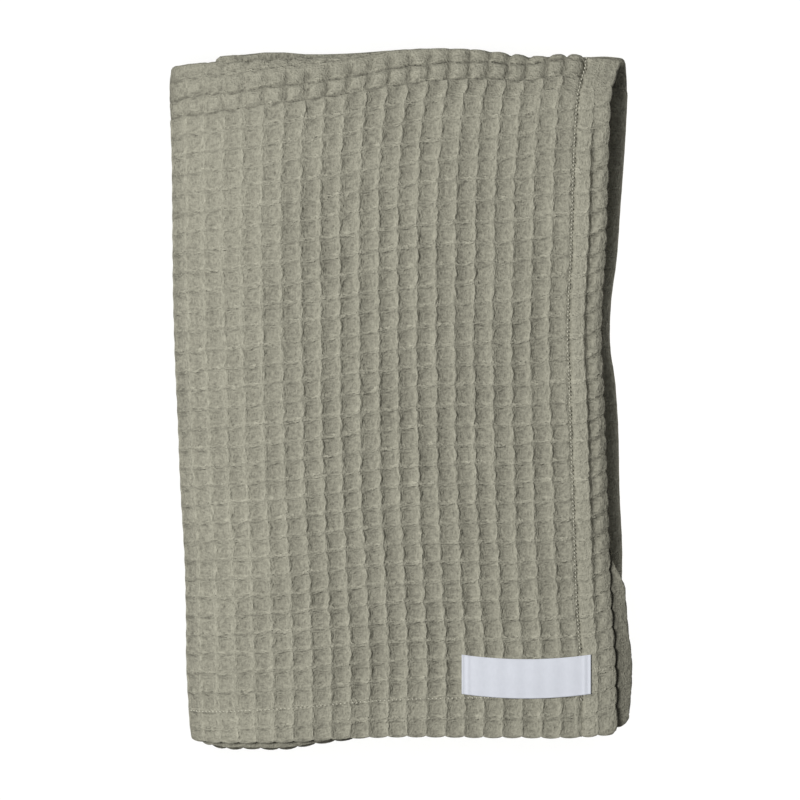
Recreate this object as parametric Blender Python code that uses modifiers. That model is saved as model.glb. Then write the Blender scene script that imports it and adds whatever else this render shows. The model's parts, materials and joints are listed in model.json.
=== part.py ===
"""Waffle weave cotton blanket, folded into a packet of eight layers that lies flat.

The cloth is one rectangle. It is folded once across its width, which makes the rolled top end (+Y), and the
doubled cloth is then folded twice across its length. Seen from the hemmed end, the doubled cloth runs:

    top panel     from its hem on the right to the broad left shoulder
    bottom panel  from the left fold, flat on the surface, to the fold low on the right
    lower panel   back to the left, above the bottom panel
    upper panel   from the inner left fold to the inner hem on the right, under the top panel

Units are metres. X is across the packet, Y along it to the rolled end, Z up from the surface it lies on.
"""

import bmesh
import bpy
import numpy as np

# The cloth and the stack of its layers.
SHEET_THICKNESS = 0.0020
LAYER_PITCH = 0.0056
HALF_PITCH = LAYER_PITCH / 2
BOTTOM_PANEL_Z = SHEET_THICKNESS / 2 + HALF_PITCH
LOWER_PANEL_Z = BOTTOM_PANEL_Z + 2 * LAYER_PITCH
UPPER_PANEL_Z = BOTTOM_PANEL_Z + 4 * LAYER_PITCH
TOP_PANEL_Z = BOTTOM_PANEL_Z + 6 * LAYER_PITCH

# The folds seen from the hemmed end, at the packet's reference width.
LEFT_EDGE_X = -0.1265
FRONT_HEM_X = 0.1135
RIGHT_FOLD_X = 0.1200
INNER_HEM_X = 0.1110
SHOULDER_START_X = -0.0550
SHOULDER_POWER = 1.8
WIDEST_Z = 0.0125
INNER_FOLD_X = -0.0960
FOLD_RADIUS = LAYER_PITCH

# The packet's middle, so that the origin lies under the middle of its box.
CENTRE_X = -0.0007
CENTRE_Y = 0.0013

# Sides of the packet, one row per station from the rolled end to the hemmed end.
# y: place of the station; left: outermost point of the left shoulder; hem: edge of the top layer;
# under: edge of the layer right under it; fold: outermost point of the fold low on the right;
# lean: how far the middle columns of cells stand to the right of halfway.
SIDE_COLUMNS = ("y", "left", "hem", "under", "fold", "lean")
SIDES = (
    (0.1925, -0.1288, 0.1235, 0.1235, 0.1284, 0.0045),
    (0.185, -0.1302, 0.1218, 0.1218, 0.1290, 0.0040),
    (0.178, -0.1307, 0.1192, 0.1192, 0.1293, 0.0030),
    (0.168, -0.1308, 0.1168, 0.1168, 0.1288, 0.0018),
    (0.154, -0.1297, 0.1160, 0.1160, 0.1281, 0.0000),
    (0.110, -0.1286, 0.1147, 0.1147, 0.1251, -0.0015),
    (0.079, -0.1285, 0.1136, 0.1136, 0.1228, -0.0011),
    (0.055, -0.1281, 0.1120, 0.1120, 0.1197, -0.0005),
    (0.028, -0.1273, 0.1116, 0.1116, 0.1194, -0.0010),
    (0.012, -0.1267, 0.1125, 0.1125, 0.1218, -0.0013),
    (-0.005, -0.1259, 0.1132, 0.1132, 0.1232, -0.0016),
    (-0.055, -0.1237, 0.1150, 0.1148, 0.1246, -0.0025),
    (-0.087, -0.1218, 0.1160, 0.1175, 0.1260, -0.0025),
    (-0.101, -0.1213, 0.1164, 0.1240, 0.1258, -0.0025),
    (-0.115, -0.1210, 0.1170, 0.1257, 0.1256, -0.0025),
    (-0.128, -0.1209, 0.1180, 0.1268, 0.1254, -0.0023),
    (-0.143, -0.1208, 0.1190, 0.1286, 0.1252, -0.0020),
    (-0.170, -0.1196, 0.1197, 0.1276, 0.1246, -0.0030),
    (-0.185, -0.1184, 0.1200, 0.1258, 0.1240, -0.0035),
    (-0.192, -0.1172, 0.1200, 0.1240, 0.1230, -0.0035),
)

# Ends of the packet, one row per station from left to right.
# x: place of the station; roll: end of the top panel's roll; hem: edge of the top layer at the bottom end;
# under: edge there of the layer right under it.
END_COLUMNS = ("x", "roll", "hem", "under")
ENDS = (
    (-0.125, 0.1909, -0.1918, -0.1922),
    (-0.108, 0.1911, -0.1912, -0.1953),
    (-0.090, 0.1907, -0.1902, -0.1946),
    (-0.072, 0.1917, -0.1892, -0.1942),
    (-0.055, 0.1922, -0.1882, -0.1912),
    (-0.035, 0.1934, -0.1868, -0.1884),
    (-0.010, 0.1962, -0.1859, -0.1850),
    (0.015, 0.1971, -0.1859, -0.1838),
    (0.040, 0.1955, -0.1863, -0.1830),
    (0.062, 0.1924, -0.1864, -0.1822),
    (0.085, 0.1932, -0.1866, -0.1815),
    (0.100, 0.1907, -0.1857, -0.1812),
    (0.110, 0.1900, -0.1848, -0.1810),
    (0.125, 0.1882, -0.1835, -0.1805),
)

# How far each panel reaches past the top panel, one row per panel.
# place: middle of the panel, as a share of the way round the section; roll: at the rolled end;
# outer, inner: at the hems of its two layers, outer the one that shows on the top panel.
PANEL_COLUMNS = ("place", "roll", "outer", "inner")
PANELS = {
    "top": (0.00, 0.0000, 0.0000, 0.0000),
    "shoulder": (0.20, -0.0010, 0.0000, -0.0005),
    "bottom": (0.40, -0.0015, -0.0030, -0.0020),
    "bottom right": (0.475, -0.0010, -0.0037, -0.0027),
    "right fold": (0.52, 0.0056, -0.0040, -0.0030),
    "lower right": (0.565, -0.0005, -0.0035, -0.0025),
    "lower": (0.71, 0.0000, -0.0020, -0.0010),
    "inner fold": (0.76, 0.0018, -0.0010, -0.0010),
    "upper left": (0.782, 0.0030, -0.0012, -0.0010),
    "upper first": (0.80, 0.0038, -0.0015, -0.0010),
    "upper second": (0.817, 0.0022, -0.0015, -0.0010),
    "upper third": (0.84, 0.0014, -0.0016, -0.0010),
    "upper middle": (0.87, 0.0005, -0.0017, -0.0010),
    "upper": (1.00, 0.0007, -0.0020, -0.0010),
}

# The rolled end is pressed down over its last stretch, less so at the left shoulder.
PRESSED_LENGTH = 0.030
PRESSED_SHARE = 0.36
PRESSED_SHARE_LEFT = 0.20

# Soft hollows and swells of the upper layers, one row each.
# x, y: middle; across, along: reach; rise: height of the top layer's swell, negative for a hollow.
SWELL_COLUMNS = ("x", "y", "across", "along", "rise")
SWELLS = (
    (-0.010, 0.080, 0.050, 0.080, 0.0012),
    (0.060, -0.020, 0.045, 0.070, -0.0010),
    (-0.030, -0.090, 0.050, 0.060, 0.0010),
    (0.070, 0.120, 0.040, 0.050, -0.0008),
)

# Near the bottom right corner nothing lies under the inner layer's side hem, so it droops from its free edge:
# by its full drop past the second place along Y, and by nothing before the first.
DROOP = 0.0030
DROOP_REACH = 0.0120
DROOP_START_Y = -0.0950
DROOP_FULL_Y = -0.1200

# The packet rests on four places of its underside, at these distances from its middle. Between them the cloth
# is a hair higher, and past them it rises until it is a little clear of the surface.
REST_X = 0.0885
REST_Y = 0.1603
REST_HOLLOW = 0.00004
CLEAR_X = 0.1170
CLEAR_Y = 0.1700
CLEAR_RISE = 0.0004

# How finely each stretch of the section and of the length is divided.
HEM_STEPS = 2
TOP_STEPS = 6
SHOULDER_STEPS = 10
TURN_STEPS = 5
BOTTOM_STEPS = 8
FOLD_STEPS = 6
LOWER_STEPS = 8
UPPER_STEPS = 8
LAYER_STEPS = 11
PRESSED_STEPS = 6
ROLL_STEPS = 6

# The woven label, sewn on by its short ends near the corner.
LABEL_THICKNESS = 0.0010
LABEL_GAP = 0.0004
LABEL_LEFT_X = 0.0340
LABEL_RIGHT_X = 0.1052
LABEL_TOP_Y = -0.1403
LABEL_BOTTOM_Y = -0.1620
LABEL_SAG = 0.0025
LABEL_STEPS = (12, 4)

CLOTH_COLOUR = (0.352, 0.343, 0.272, 1.0)
LABEL_COLOUR = (0.640, 0.650, 0.720, 1.0)


def smooth_column(table, column, columns, places):
    """Reads one column of a table at the given places along its first column, on a smooth cubic curve.

    Each stretch between two rows is a Hermite cubic whose end slopes are those of the neighbouring rows.
    """
    rows = np.array(sorted(table))
    stations = rows[:, 0]
    values = rows[:, columns.index(column)]
    slopes = np.gradient(values, stations)
    inside = np.clip(places, stations[0], stations[-1])
    first = np.clip(np.searchsorted(stations, inside, side="right") - 1, 0, len(stations) - 2)
    width = stations[first + 1] - stations[first]
    share = (inside - stations[first]) / width
    start, end = values[first], values[first + 1]
    rise = share * share * (3 - 2 * share)
    curve = start + (end - start) * rise
    curve += width * slopes[first] * share * (1 - share) ** 2
    curve -= width * slopes[first + 1] * share * share * (1 - share)
    return curve


def shoulder_share(x):
    """Share of its drop that the top panel still has over the left shoulder: 1 where flat, 0 at its edge."""
    reach = SHOULDER_START_X - (LEFT_EDGE_X + HALF_PITCH + SHEET_THICKNESS / 2)
    across = np.clip((SHOULDER_START_X - x) / reach, 0.0, 1.0)
    return (1 - across**SHOULDER_POWER) ** (1 / SHOULDER_POWER)


def left_squeeze(x):
    """Share of its height that a panel inside the packet keeps under the left shoulder."""
    height = WIDEST_Z + (TOP_PANEL_Z - WIDEST_Z) * shoulder_share(x)
    return (height - BOTTOM_PANEL_Z) / (TOP_PANEL_Z - BOTTOM_PANEL_Z)


def arc(centre_x, centre_z, radius_x, radius_z, start, end, steps):
    """Points on an arc of an ellipse, with angles in degrees from +X towards +Z."""
    angle = np.radians(np.linspace(start, end, steps + 1))
    return np.column_stack((centre_x + radius_x * np.cos(angle), centre_z + radius_z * np.sin(angle)))


def level_run(start_x, end_x, z, steps):
    """Points on a straight stretch at height z, lowered under the left shoulder."""
    x = np.linspace(start_x, end_x, steps + 1)
    return np.column_stack((x, BOTTOM_PANEL_Z + (z - BOTTOM_PANEL_Z) * left_squeeze(x)))


def section_of_folds():
    """Centre line of the doubled cloth in the X-Z plane, from the top panel's hem to the inner hem."""
    shoulder_edge = LEFT_EDGE_X + HALF_PITCH + SHEET_THICKNESS / 2
    shoulder_reach = SHOULDER_START_X - shoulder_edge
    shoulder_angle = np.linspace(0, np.pi / 2, SHOULDER_STEPS + 1)
    shoulder_x = SHOULDER_START_X - shoulder_reach * np.sin(shoulder_angle) ** (2 / SHOULDER_POWER)
    shoulder_z = WIDEST_Z + (TOP_PANEL_Z - WIDEST_Z) * np.cos(shoulder_angle) ** (2 / SHOULDER_POWER)
    shoulder = np.column_stack((shoulder_x, shoulder_z))
    turn_radius = WIDEST_Z - BOTTOM_PANEL_Z
    turn_x = shoulder_edge + turn_radius
    turn = arc(turn_x, WIDEST_Z, turn_radius, turn_radius, 180, 270, TURN_STEPS)
    fold_x = RIGHT_FOLD_X - FOLD_RADIUS - HALF_PITCH - SHEET_THICKNESS / 2
    right_fold = arc(fold_x, BOTTOM_PANEL_Z + FOLD_RADIUS, FOLD_RADIUS, FOLD_RADIUS, -90, 90, FOLD_STEPS)
    kept = left_squeeze(INNER_FOLD_X)
    inner_z = BOTTOM_PANEL_Z + 3 * LAYER_PITCH * kept
    inner_fold = arc(INNER_FOLD_X, inner_z, FOLD_RADIUS * kept, FOLD_RADIUS * kept, 270, 90, FOLD_STEPS)
    hem_end_x = FRONT_HEM_X - DROOP_REACH
    pieces = (
        level_run(FRONT_HEM_X, hem_end_x, TOP_PANEL_Z, HEM_STEPS),
        level_run(hem_end_x, SHOULDER_START_X, TOP_PANEL_Z, TOP_STEPS),
        shoulder,
        turn,
        level_run(turn_x, fold_x, BOTTOM_PANEL_Z, BOTTOM_STEPS),
        right_fold,
        level_run(fold_x, INNER_FOLD_X, LOWER_PANEL_Z, LOWER_STEPS),
        inner_fold,
        level_run(INNER_FOLD_X, INNER_HEM_X, UPPER_PANEL_Z, UPPER_STEPS),
    )
    return np.concatenate([pieces[0]] + [piece[1:] for piece in pieces[1:]])


def distance_along(line):
    """Distance along a line of points, from its first point."""
    steps = np.linalg.norm(np.diff(line, axis=0), axis=1)
    return np.concatenate(([0.0], np.cumsum(steps)))


def outward_normals(line):
    """Unit normals on the right-hand side of the line, which is the packet's outside on the top panel."""
    tangent = np.gradient(line, axis=0)
    tangent /= np.linalg.norm(tangent, axis=1, keepdims=True)
    return np.column_stack((tangent[:, 1], -tangent[:, 0]))


def run_of_length():
    """Stations along one layer and back along the other.

    Returns along, from 0 at the hems to 1 at the roll, roll, the share of the half pitch by which the roll
    reaches past that, and side, from 1 on the outer layer to -1 on the inner one.
    """
    pressed = PRESSED_LENGTH / 0.37
    flat = np.linspace(0, 1 - pressed, LAYER_STEPS + 1)
    along = np.concatenate((flat, np.linspace(1 - pressed, 1, PRESSED_STEPS + 1)[1:]))
    angle = np.linspace(0, np.pi, ROLL_STEPS + 1)[1:-1]
    ones = np.ones_like(along)
    return (
        np.concatenate((along, np.ones_like(angle), along[::-1])),
        np.concatenate((0 * ones, np.sin(angle), 0 * ones)),
        np.concatenate((ones, np.cos(angle), -ones)),
    )


def swell(x, y):
    """Height of the top layer's soft swells and hollows: a sum of round bumps."""
    total = np.zeros(np.broadcast(x, y).shape)
    for middle_x, middle_y, across, along, rise in SWELLS:
        total += rise * np.exp(-(((x - middle_x) / across) ** 2) - ((y - middle_y) / along) ** 2)
    return total


def pressed_share(x, y, roll_y):
    """Share of its height that a point keeps near the roll at roll_y: a parabola over the pressed length."""
    left = np.clip((SHOULDER_START_X - x) / (SHOULDER_START_X - LEFT_EDGE_X), 0, 1)
    depth = PRESSED_SHARE + (PRESSED_SHARE_LEFT - PRESSED_SHARE) * left
    near = np.clip(1 - (roll_y - y) / PRESSED_LENGTH, 0, 1)
    return 1 - depth * near**2


def droop(distance, y, side):
    """Drop of the inner layer's side hem where it hangs free: a parabola from its edge."""
    free = np.clip(1 - distance / DROOP_REACH, 0, 1) ** 2
    start = np.clip((DROOP_START_Y - y) / (DROOP_START_Y - DROOP_FULL_Y), 0, 1)
    return DROOP * free * start * start * (3 - 2 * start) * np.clip(-side, 0, 1)


def lowest(x, y):
    """Height of the lowest layer's middle: nearly level between the places it rests on, and rising past them."""
    across, along = abs(x - CENTRE_X), abs(y - CENTRE_Y)
    hollow = REST_HOLLOW * np.clip(1 - (across * along / (REST_X * REST_Y)) ** 2, 0, 1)
    past = np.maximum((across - REST_X) / (CLEAR_X - REST_X), (along - REST_Y) / (CLEAR_Y - REST_Y))
    return SHEET_THICKNESS / 2 + np.maximum(hollow, CLEAR_RISE * np.clip(past, 0, 1))


def fitted_across(x, y, share, side):
    """Moves a point of the reference section sideways to the packet's sides at its place along Y.

    Its share of the way from the left edge to its own panel's right edge stays as it is.
    """
    left = smooth_column(SIDES, "left", SIDE_COLUMNS, y)
    hem = smooth_column(SIDES, "hem", SIDE_COLUMNS, y)
    under = smooth_column(SIDES, "under", SIDE_COLUMNS, y)
    fold = smooth_column(SIDES, "fold", SIDE_COLUMNS, y)
    lean = smooth_column(SIDES, "lean", SIDE_COLUMNS, y)
    front = np.where(side > 0, 1 + side, 1 - abs(side)) / 2
    top_edge = under + (hem - under) * front
    inner_edge = hem - (FRONT_HEM_X - INNER_HEM_X)
    on_top = np.interp(share, (0.20, 0.30), (1, 0))
    on_upper = np.interp(share, (0.55, 0.75), (0, 1))
    reference = FRONT_HEM_X * on_top + INNER_HEM_X * on_upper + RIGHT_FOLD_X * (1 - on_top - on_upper)
    right = top_edge * on_top + inner_edge * on_upper + fold * (1 - on_top - on_upper)
    part = (x - LEFT_EDGE_X) / (reference - LEFT_EDGE_X)
    return left + (right - left) * part + lean * 4 * part * (1 - part)


def cloth_points():
    """The folded sheet's points, as an array of stations round the section by stations along the length."""
    line = section_of_folds()
    distance = distance_along(line)[:, None]
    share = distance / distance[-1]
    normal = outward_normals(line)
    along, roll, side = run_of_length()
    squeeze = np.where(share[:, 0] > 0.5, left_squeeze(line[:, 0]), 1.0)
    offset = HALF_PITCH * squeeze[:, None] * side
    x = line[:, :1] + normal[:, :1] * offset
    z = line[:, 1:] + normal[:, 1:] * offset
    panels = tuple(PANELS.values())
    top_roll_y = smooth_column(ENDS, "roll", END_COLUMNS, x) - HALF_PITCH - SHEET_THICKNESS / 2
    roll_y = top_roll_y + smooth_column(panels, "roll", PANEL_COLUMNS, share)
    outer_hem_y = smooth_column(ENDS, "hem", END_COLUMNS, x)
    outer_hem_y = outer_hem_y - smooth_column(panels, "outer", PANEL_COLUMNS, share)
    inner_hem_y = smooth_column(ENDS, "under", END_COLUMNS, x)
    inner_hem_y = inner_hem_y - smooth_column(panels, "inner", PANEL_COLUMNS, share)
    hem_y = np.where(side > 0, outer_hem_y, inner_hem_y)
    y = hem_y + (roll_y - hem_y) * along + HALF_PITCH * roll
    fitted = fitted_across(x, y, share, side)
    level = np.clip((z - BOTTOM_PANEL_Z) / (TOP_PANEL_Z - BOTTOM_PANEL_Z), 0, None)
    height = level * (TOP_PANEL_Z - BOTTOM_PANEL_Z) * pressed_share(x, y, top_roll_y)
    z = np.minimum(z, BOTTOM_PANEL_Z) + height + level * swell(fitted, y) - droop(distance, y, side)
    z = np.maximum(z, lowest(fitted, y))
    return np.stack((fitted - CENTRE_X, y - CENTRE_Y, z), axis=-1)


def grid_object(name, points, collection):
    """A grid of bmesh faces moved onto the given array of points."""
    rows, columns = points.shape[:2]
    mesh = bpy.data.meshes.new(name)
    work = bmesh.new()
    bmesh.ops.create_grid(work, x_segments=rows - 1, y_segments=columns - 1, size=1.0)
    for vertex in work.verts:
        row = round((vertex.co.x + 1) / 2 * (rows - 1))
        column = round((vertex.co.y + 1) / 2 * (columns - 1))
        vertex.co = points[row, column]
    work.to_mesh(mesh)
    work.free()
    mesh.shade_smooth()
    item = bpy.data.objects.new(name, mesh)
    collection.objects.link(item)
    return item


def thicken(item, thickness):
    """Gives a sheet its thickness, half to each side."""
    solidify = item.modifiers.new("thickness", "SOLIDIFY")
    solidify.thickness = thickness
    solidify.offset = 0.0
    solidify.use_even_offset = True
    solidify.use_quality_normals = True


def cloth_material(name, colour, roughness):
    """A plain woven finish."""
    material = bpy.data.materials.new(name)
    material.use_nodes = True
    shader = material.node_tree.nodes["Principled BSDF"]
    shader.inputs["Base Color"].default_value = colour
    shader.inputs["Roughness"].default_value = roughness
    shader.inputs["Metallic"].default_value = 0.0
    material.diffuse_color = colour
    return material


def make_blanket(collection):
    """The whole blanket: one sheet of cloth in its eight layers."""
    blanket = grid_object("blanket_cloth", cloth_points(), collection)
    thicken(blanket, SHEET_THICKNESS)
    blanket.data.materials.append(cloth_material("waffle_cotton", CLOTH_COLOUR, 0.95))
    return blanket


def make_label(collection):
    """The woven label: its long edges sag a little between the ends that are sewn down."""
    across = np.linspace(0, 1, LABEL_STEPS[0] + 1)[:, None]
    up = np.linspace(0, 1, LABEL_STEPS[1] + 1)[None, :]
    x = LABEL_LEFT_X + (LABEL_RIGHT_X - LABEL_LEFT_X) * across + 0 * up
    y = LABEL_BOTTOM_Y + (LABEL_TOP_Y - LABEL_BOTTOM_Y) * up - LABEL_SAG * 4 * across * (1 - across)
    top_layer = TOP_PANEL_Z + HALF_PITCH + SHEET_THICKNESS / 2
    z = top_layer + LABEL_GAP + LABEL_THICKNESS / 2 + swell(x, y)
    points = np.stack((x - CENTRE_X, y - CENTRE_Y, z), axis=-1)
    label = grid_object("woven_label", points, collection)
    thicken(label, LABEL_THICKNESS)
    label.data.materials.append(cloth_material("label_satin", LABEL_COLOUR, 0.6))
    return label


def main():
    """Clears the scene and makes the folded blanket."""
    for item in list(bpy.data.objects):
        bpy.data.objects.remove(item, do_unlink=True)
    collection = bpy.data.collections.new("waffle weave cotton blanket")
    bpy.context.scene.collection.children.link(collection)
    make_blanket(collection)
    make_label(collection)


main()
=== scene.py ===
"""Looks of the folded waffle weave cotton blanket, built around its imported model.

The blanket is one sheet of cloth. The weave gives each point of the flat cloth a height and a small sideways
shift, and the fold carries the point to its place in the packet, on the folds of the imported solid.

Units are metres. X runs across the packet, Y along it to the rolled end, Z up from the surface it lies on.
On the flat cloth, "across" is the distance from the front hem round the packet to the inner hem, and "along"
is the distance from the outer bottom hem over the roll to the inner bottom hem.
"""

from __future__ import annotations

import json
import logging
import math
from dataclasses import dataclass, field
from enum import Enum, IntEnum
from functools import cached_property
from typing import NamedTuple, Sequence

import bpy
import numpy as np
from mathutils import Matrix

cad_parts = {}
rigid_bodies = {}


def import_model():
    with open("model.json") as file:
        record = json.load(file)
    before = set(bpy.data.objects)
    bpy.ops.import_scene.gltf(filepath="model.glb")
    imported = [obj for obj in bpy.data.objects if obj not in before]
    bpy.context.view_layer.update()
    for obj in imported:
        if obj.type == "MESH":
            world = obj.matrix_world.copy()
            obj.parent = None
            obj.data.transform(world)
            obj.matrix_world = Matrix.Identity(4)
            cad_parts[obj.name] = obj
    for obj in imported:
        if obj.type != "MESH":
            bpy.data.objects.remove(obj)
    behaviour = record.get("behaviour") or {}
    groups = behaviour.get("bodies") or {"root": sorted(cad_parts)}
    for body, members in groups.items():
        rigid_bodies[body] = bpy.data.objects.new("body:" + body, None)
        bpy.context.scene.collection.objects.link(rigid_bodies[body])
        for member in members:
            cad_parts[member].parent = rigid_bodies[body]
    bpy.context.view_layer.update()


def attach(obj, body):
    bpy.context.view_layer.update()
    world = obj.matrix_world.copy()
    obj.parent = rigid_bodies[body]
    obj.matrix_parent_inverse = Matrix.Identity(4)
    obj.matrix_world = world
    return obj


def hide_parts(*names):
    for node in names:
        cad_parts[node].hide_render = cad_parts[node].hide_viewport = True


LOG = logging.getLogger("waffle_blanket")
BODY = "root"
SHORTEST = 1e-12
Pair = tuple[float, float]


@dataclass(frozen=True)
class Table:
    """Measures at a number of stations. The first of the named columns is the station."""

    names: str
    rows: tuple[tuple[float, ...], ...]

    def read(self, name: str, places: np.ndarray) -> np.ndarray:
        """Reads one column on a smooth curve.

        Each stretch between two rows is a Hermite cubic whose end slopes are those of the neighbouring rows.

        Args:
            name: name of the column.
            places: stations to read it at.

        Returns:
            The column's value at each place.
        """
        order = np.array(sorted(self.rows))
        stations, values = order[:, 0], order[:, self.names.split().index(name)]
        slopes = np.gradient(values, stations)
        inside = np.clip(places, stations[0], stations[-1])
        first = np.clip(np.searchsorted(stations, inside, side="right") - 1, 0, len(stations) - 2)
        width = stations[first + 1] - stations[first]
        share = (inside - stations[first]) / width
        start, end = values[first], values[first + 1]
        curve = start + (end - start) * share * share * (3 - 2 * share)
        curve += width * slopes[first] * share * (1 - share) ** 2
        curve -= width * slopes[first + 1] * share * share * (1 - share)
        return curve

    def first(self, name: str) -> float:
        """Value of a column in the first row."""
        return self.rows[0][self.names.split().index(name)]


# Sides of the packet. left is the outermost point of the left shoulder, hem the edge of the top layer,
# under the edge of the layer right under it, fold the outermost point of the fold low on the right, and lean
# how far the middle columns of cells stand to the right of halfway.
SIDES = Table(
    "y left hem under fold lean",
    (
        (0.1925, -0.1288, 0.1235, 0.1235, 0.1284, 0.0038),
        (0.185, -0.1302, 0.1218, 0.1218, 0.1290, 0.0051),
        (0.178, -0.1307, 0.1192, 0.1192, 0.1293, 0.0058),
        (0.168, -0.1308, 0.1168, 0.1168, 0.1288, 0.0049),
        (0.154, -0.1297, 0.1160, 0.1160, 0.1281, 0.0031),
        (0.110, -0.1286, 0.1147, 0.1147, 0.1251, 0.0008),
        (0.079, -0.1285, 0.1136, 0.1136, 0.1228, 0.0010),
        (0.055, -0.1281, 0.1120, 0.1120, 0.1197, 0.0017),
        (0.028, -0.1273, 0.1116, 0.1116, 0.1194, 0.0014),
        (0.012, -0.1267, 0.1125, 0.1125, 0.1218, 0.0009),
        (-0.005, -0.1259, 0.1132, 0.1132, 0.1232, 0.0003),
        (-0.055, -0.1237, 0.1150, 0.1148, 0.1246, -0.0006),
        (-0.087, -0.1218, 0.1160, 0.1175, 0.1260, -0.0005),
        (-0.101, -0.1213, 0.1164, 0.1240, 0.1258, -0.0002),
        (-0.115, -0.1210, 0.1170, 0.1257, 0.1256, -0.0001),
        (-0.128, -0.1209, 0.1180, 0.1268, 0.1254, 0.0001),
        (-0.143, -0.1208, 0.1190, 0.1286, 0.1252, 0.0002),
        (-0.170, -0.1196, 0.1197, 0.1276, 0.1246, -0.0010),
        (-0.185, -0.1184, 0.1200, 0.1258, 0.1240, -0.0015),
        (-0.192, -0.1172, 0.1200, 0.1240, 0.1230, -0.0015),
    ),
)

# Ends of the packet, across it: the end of the top panel's roll, and the bottom hems of its two layers.
ENDS = Table(
    "x roll hem under",
    (
        (-0.125, 0.1909, -0.1918, -0.1922),
        (-0.108, 0.1911, -0.1912, -0.1953),
        (-0.090, 0.1907, -0.1902, -0.1946),
        (-0.072, 0.1917, -0.1892, -0.1942),
        (-0.055, 0.1922, -0.1882, -0.1912),
        (-0.035, 0.1934, -0.1868, -0.1884),
        (-0.010, 0.1962, -0.1859, -0.1850),
        (0.015, 0.1971, -0.1859, -0.1838),
        (0.040, 0.1955, -0.1863, -0.1830),
        (0.062, 0.1924, -0.1864, -0.1822),
        (0.085, 0.1932, -0.1866, -0.1815),
        (0.100, 0.1907, -0.1857, -0.1812),
        (0.110, 0.1900, -0.1848, -0.1810),
        (0.125, 0.1882, -0.1835, -0.1805),
    ),
)

# How far each panel reaches past the top panel at the roll and at the hems of its outer and inner layers, by
# its place as a share of the way round the section.
PANELS = Table(
    "place roll outer inner",
    (
        (0.00, 0.0000, 0.0000, 0.0000),
        (0.20, -0.0010, 0.0000, -0.0005),
        (0.40, -0.0015, -0.0030, -0.0020),
        (0.475, -0.0010, -0.0037, -0.0027),
        (0.52, 0.0056, -0.0040, -0.0030),
        (0.565, -0.0005, -0.0035, -0.0025),
        (0.71, 0.0000, -0.0020, -0.0010),
        (0.76, 0.0018, -0.0010, -0.0010),
        (0.782, 0.0030, -0.0012, -0.0010),
        (0.80, 0.0038, -0.0015, -0.0010),
        (0.817, 0.0022, -0.0015, -0.0010),
        (0.84, 0.0014, -0.0016, -0.0010),
        (0.87, 0.0005, -0.0017, -0.0010),
        (1.00, 0.0007, -0.0020, -0.0010),
    ),
)

# Soft swells of the upper layers, each about its own middle. Where the rise is negative it is a hollow.
SWELLS = Table(
    "x y across along rise",
    (
        (-0.010, 0.080, 0.050, 0.080, 0.0012),
        (0.060, -0.020, 0.045, 0.070, -0.0010),
        (-0.030, -0.090, 0.050, 0.060, 0.0010),
        (0.070, 0.120, 0.040, 0.050, -0.0008),
    ),
)

# Relief of the weave: the ridges' height above mid-cloth, and the cells' depth. The first row is the fullest.
RELIEFS = Table(
    "across crest depth",
    (
        (0.000, 0.0012, 0.0019),
        (0.175, 0.0012, 0.0019),
        (0.205, 0.0011, 0.0014),
        (0.240, 0.0009, 0.0010),
        (0.262, 0.0007, 0.0010),
        (0.464, 0.0007, 0.0010),
        (0.474, 0.0007, 0.0010),
        (0.482, 0.0006, 0.0004),
        (0.506, 0.0006, 0.0004),
        (0.520, 0.0008, 0.0009),
        (0.930, 0.0008, 0.0009),
    ),
)

# The side hem's outermost column: the drop of its edge, and how plump its pillows are.
HEM_COURSE = Table(
    "along drop plump",
    (
        (0.000, 0.0008, 0.25),
        (0.030, 0.0009, 0.35),
        (0.063, 0.0014, 0.55),
        (0.116, 0.0021, 0.95),
        (0.163, 0.0021, 1.25),
        (0.218, 0.0016, 1.05),
        (0.273, 0.0012, 1.20),
        (0.312, 0.0008, 1.00),
        (0.328, 0.0004, 0.40),
        (0.345, 0.0002, 0.00),
        (0.420, 0.0002, 0.00),
        (0.640, 0.0000, 0.80),
        (0.763, 0.0000, 0.80),
    ),
)

# Depth of a cell, as a share of the whole, at one share of the way from its left ridge to its right one.
CELL_PROFILE = Table(
    "share depth",
    (
        (0.00, 0.00),
        (0.05, 0.40),
        (0.11, 0.63),
        (0.22, 0.86),
        (0.38, 1.00),
        (0.60, 0.85),
        (0.80, 0.50),
        (0.92, 0.21),
        (1.00, 0.00),
    ),
)

# Course of the rows of cells: their rise to the right as a slope, and their drift along the cloth.
ROW_COURSES = Table(
    "along rise drift",
    (
        (0.000, 0.012, 0.0000),
        (0.020, 0.030, 0.0000),
        (0.054, 0.032, -0.0006),
        (0.098, 0.040, -0.0018),
        (0.141, 0.050, -0.0025),
        (0.185, 0.056, -0.0036),
        (0.229, 0.055, -0.0011),
        (0.272, 0.055, -0.0005),
        (0.305, 0.068, 0.0013),
        (0.338, 0.080, 0.0027),
        (0.371, 0.092, 0.0009),
        (0.400, 0.092, 0.0000),
        (0.600, 0.000, 0.0000),
        (0.763, 0.000, 0.0000),
    ),
)


def unit(vectors: np.ndarray) -> np.ndarray:
    """Scales vectors along the last axis to length one."""
    return vectors / np.maximum(np.linalg.norm(vectors, axis=-1, keepdims=True), SHORTEST)


def smooth_step(ends: Pair, values: np.ndarray) -> np.ndarray:
    """Rises from 0 at the first end to 1 at the second along a cubic with level ends."""
    share = np.clip((values - ends[0]) / (ends[1] - ends[0]), 0.0, 1.0)
    return share * share * (3 - 2 * share)


def bell(distances: np.ndarray, reach: float) -> np.ndarray:
    """Bell curve: 1 at no distance, and the exponential of minus one at the reach."""
    return np.exp(-((distances / reach) ** 2))


class Stretch(IntEnum):
    """The stretches of the section, from the top panel's hem to the inner hem."""

    TOP = 0
    SHOULDER = 1
    LEFT_TURN = 2
    BOTTOM = 3
    RIGHT_FOLD = 4
    LOWER = 5
    INNER_FOLD = 6
    UPPER = 7


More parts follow.
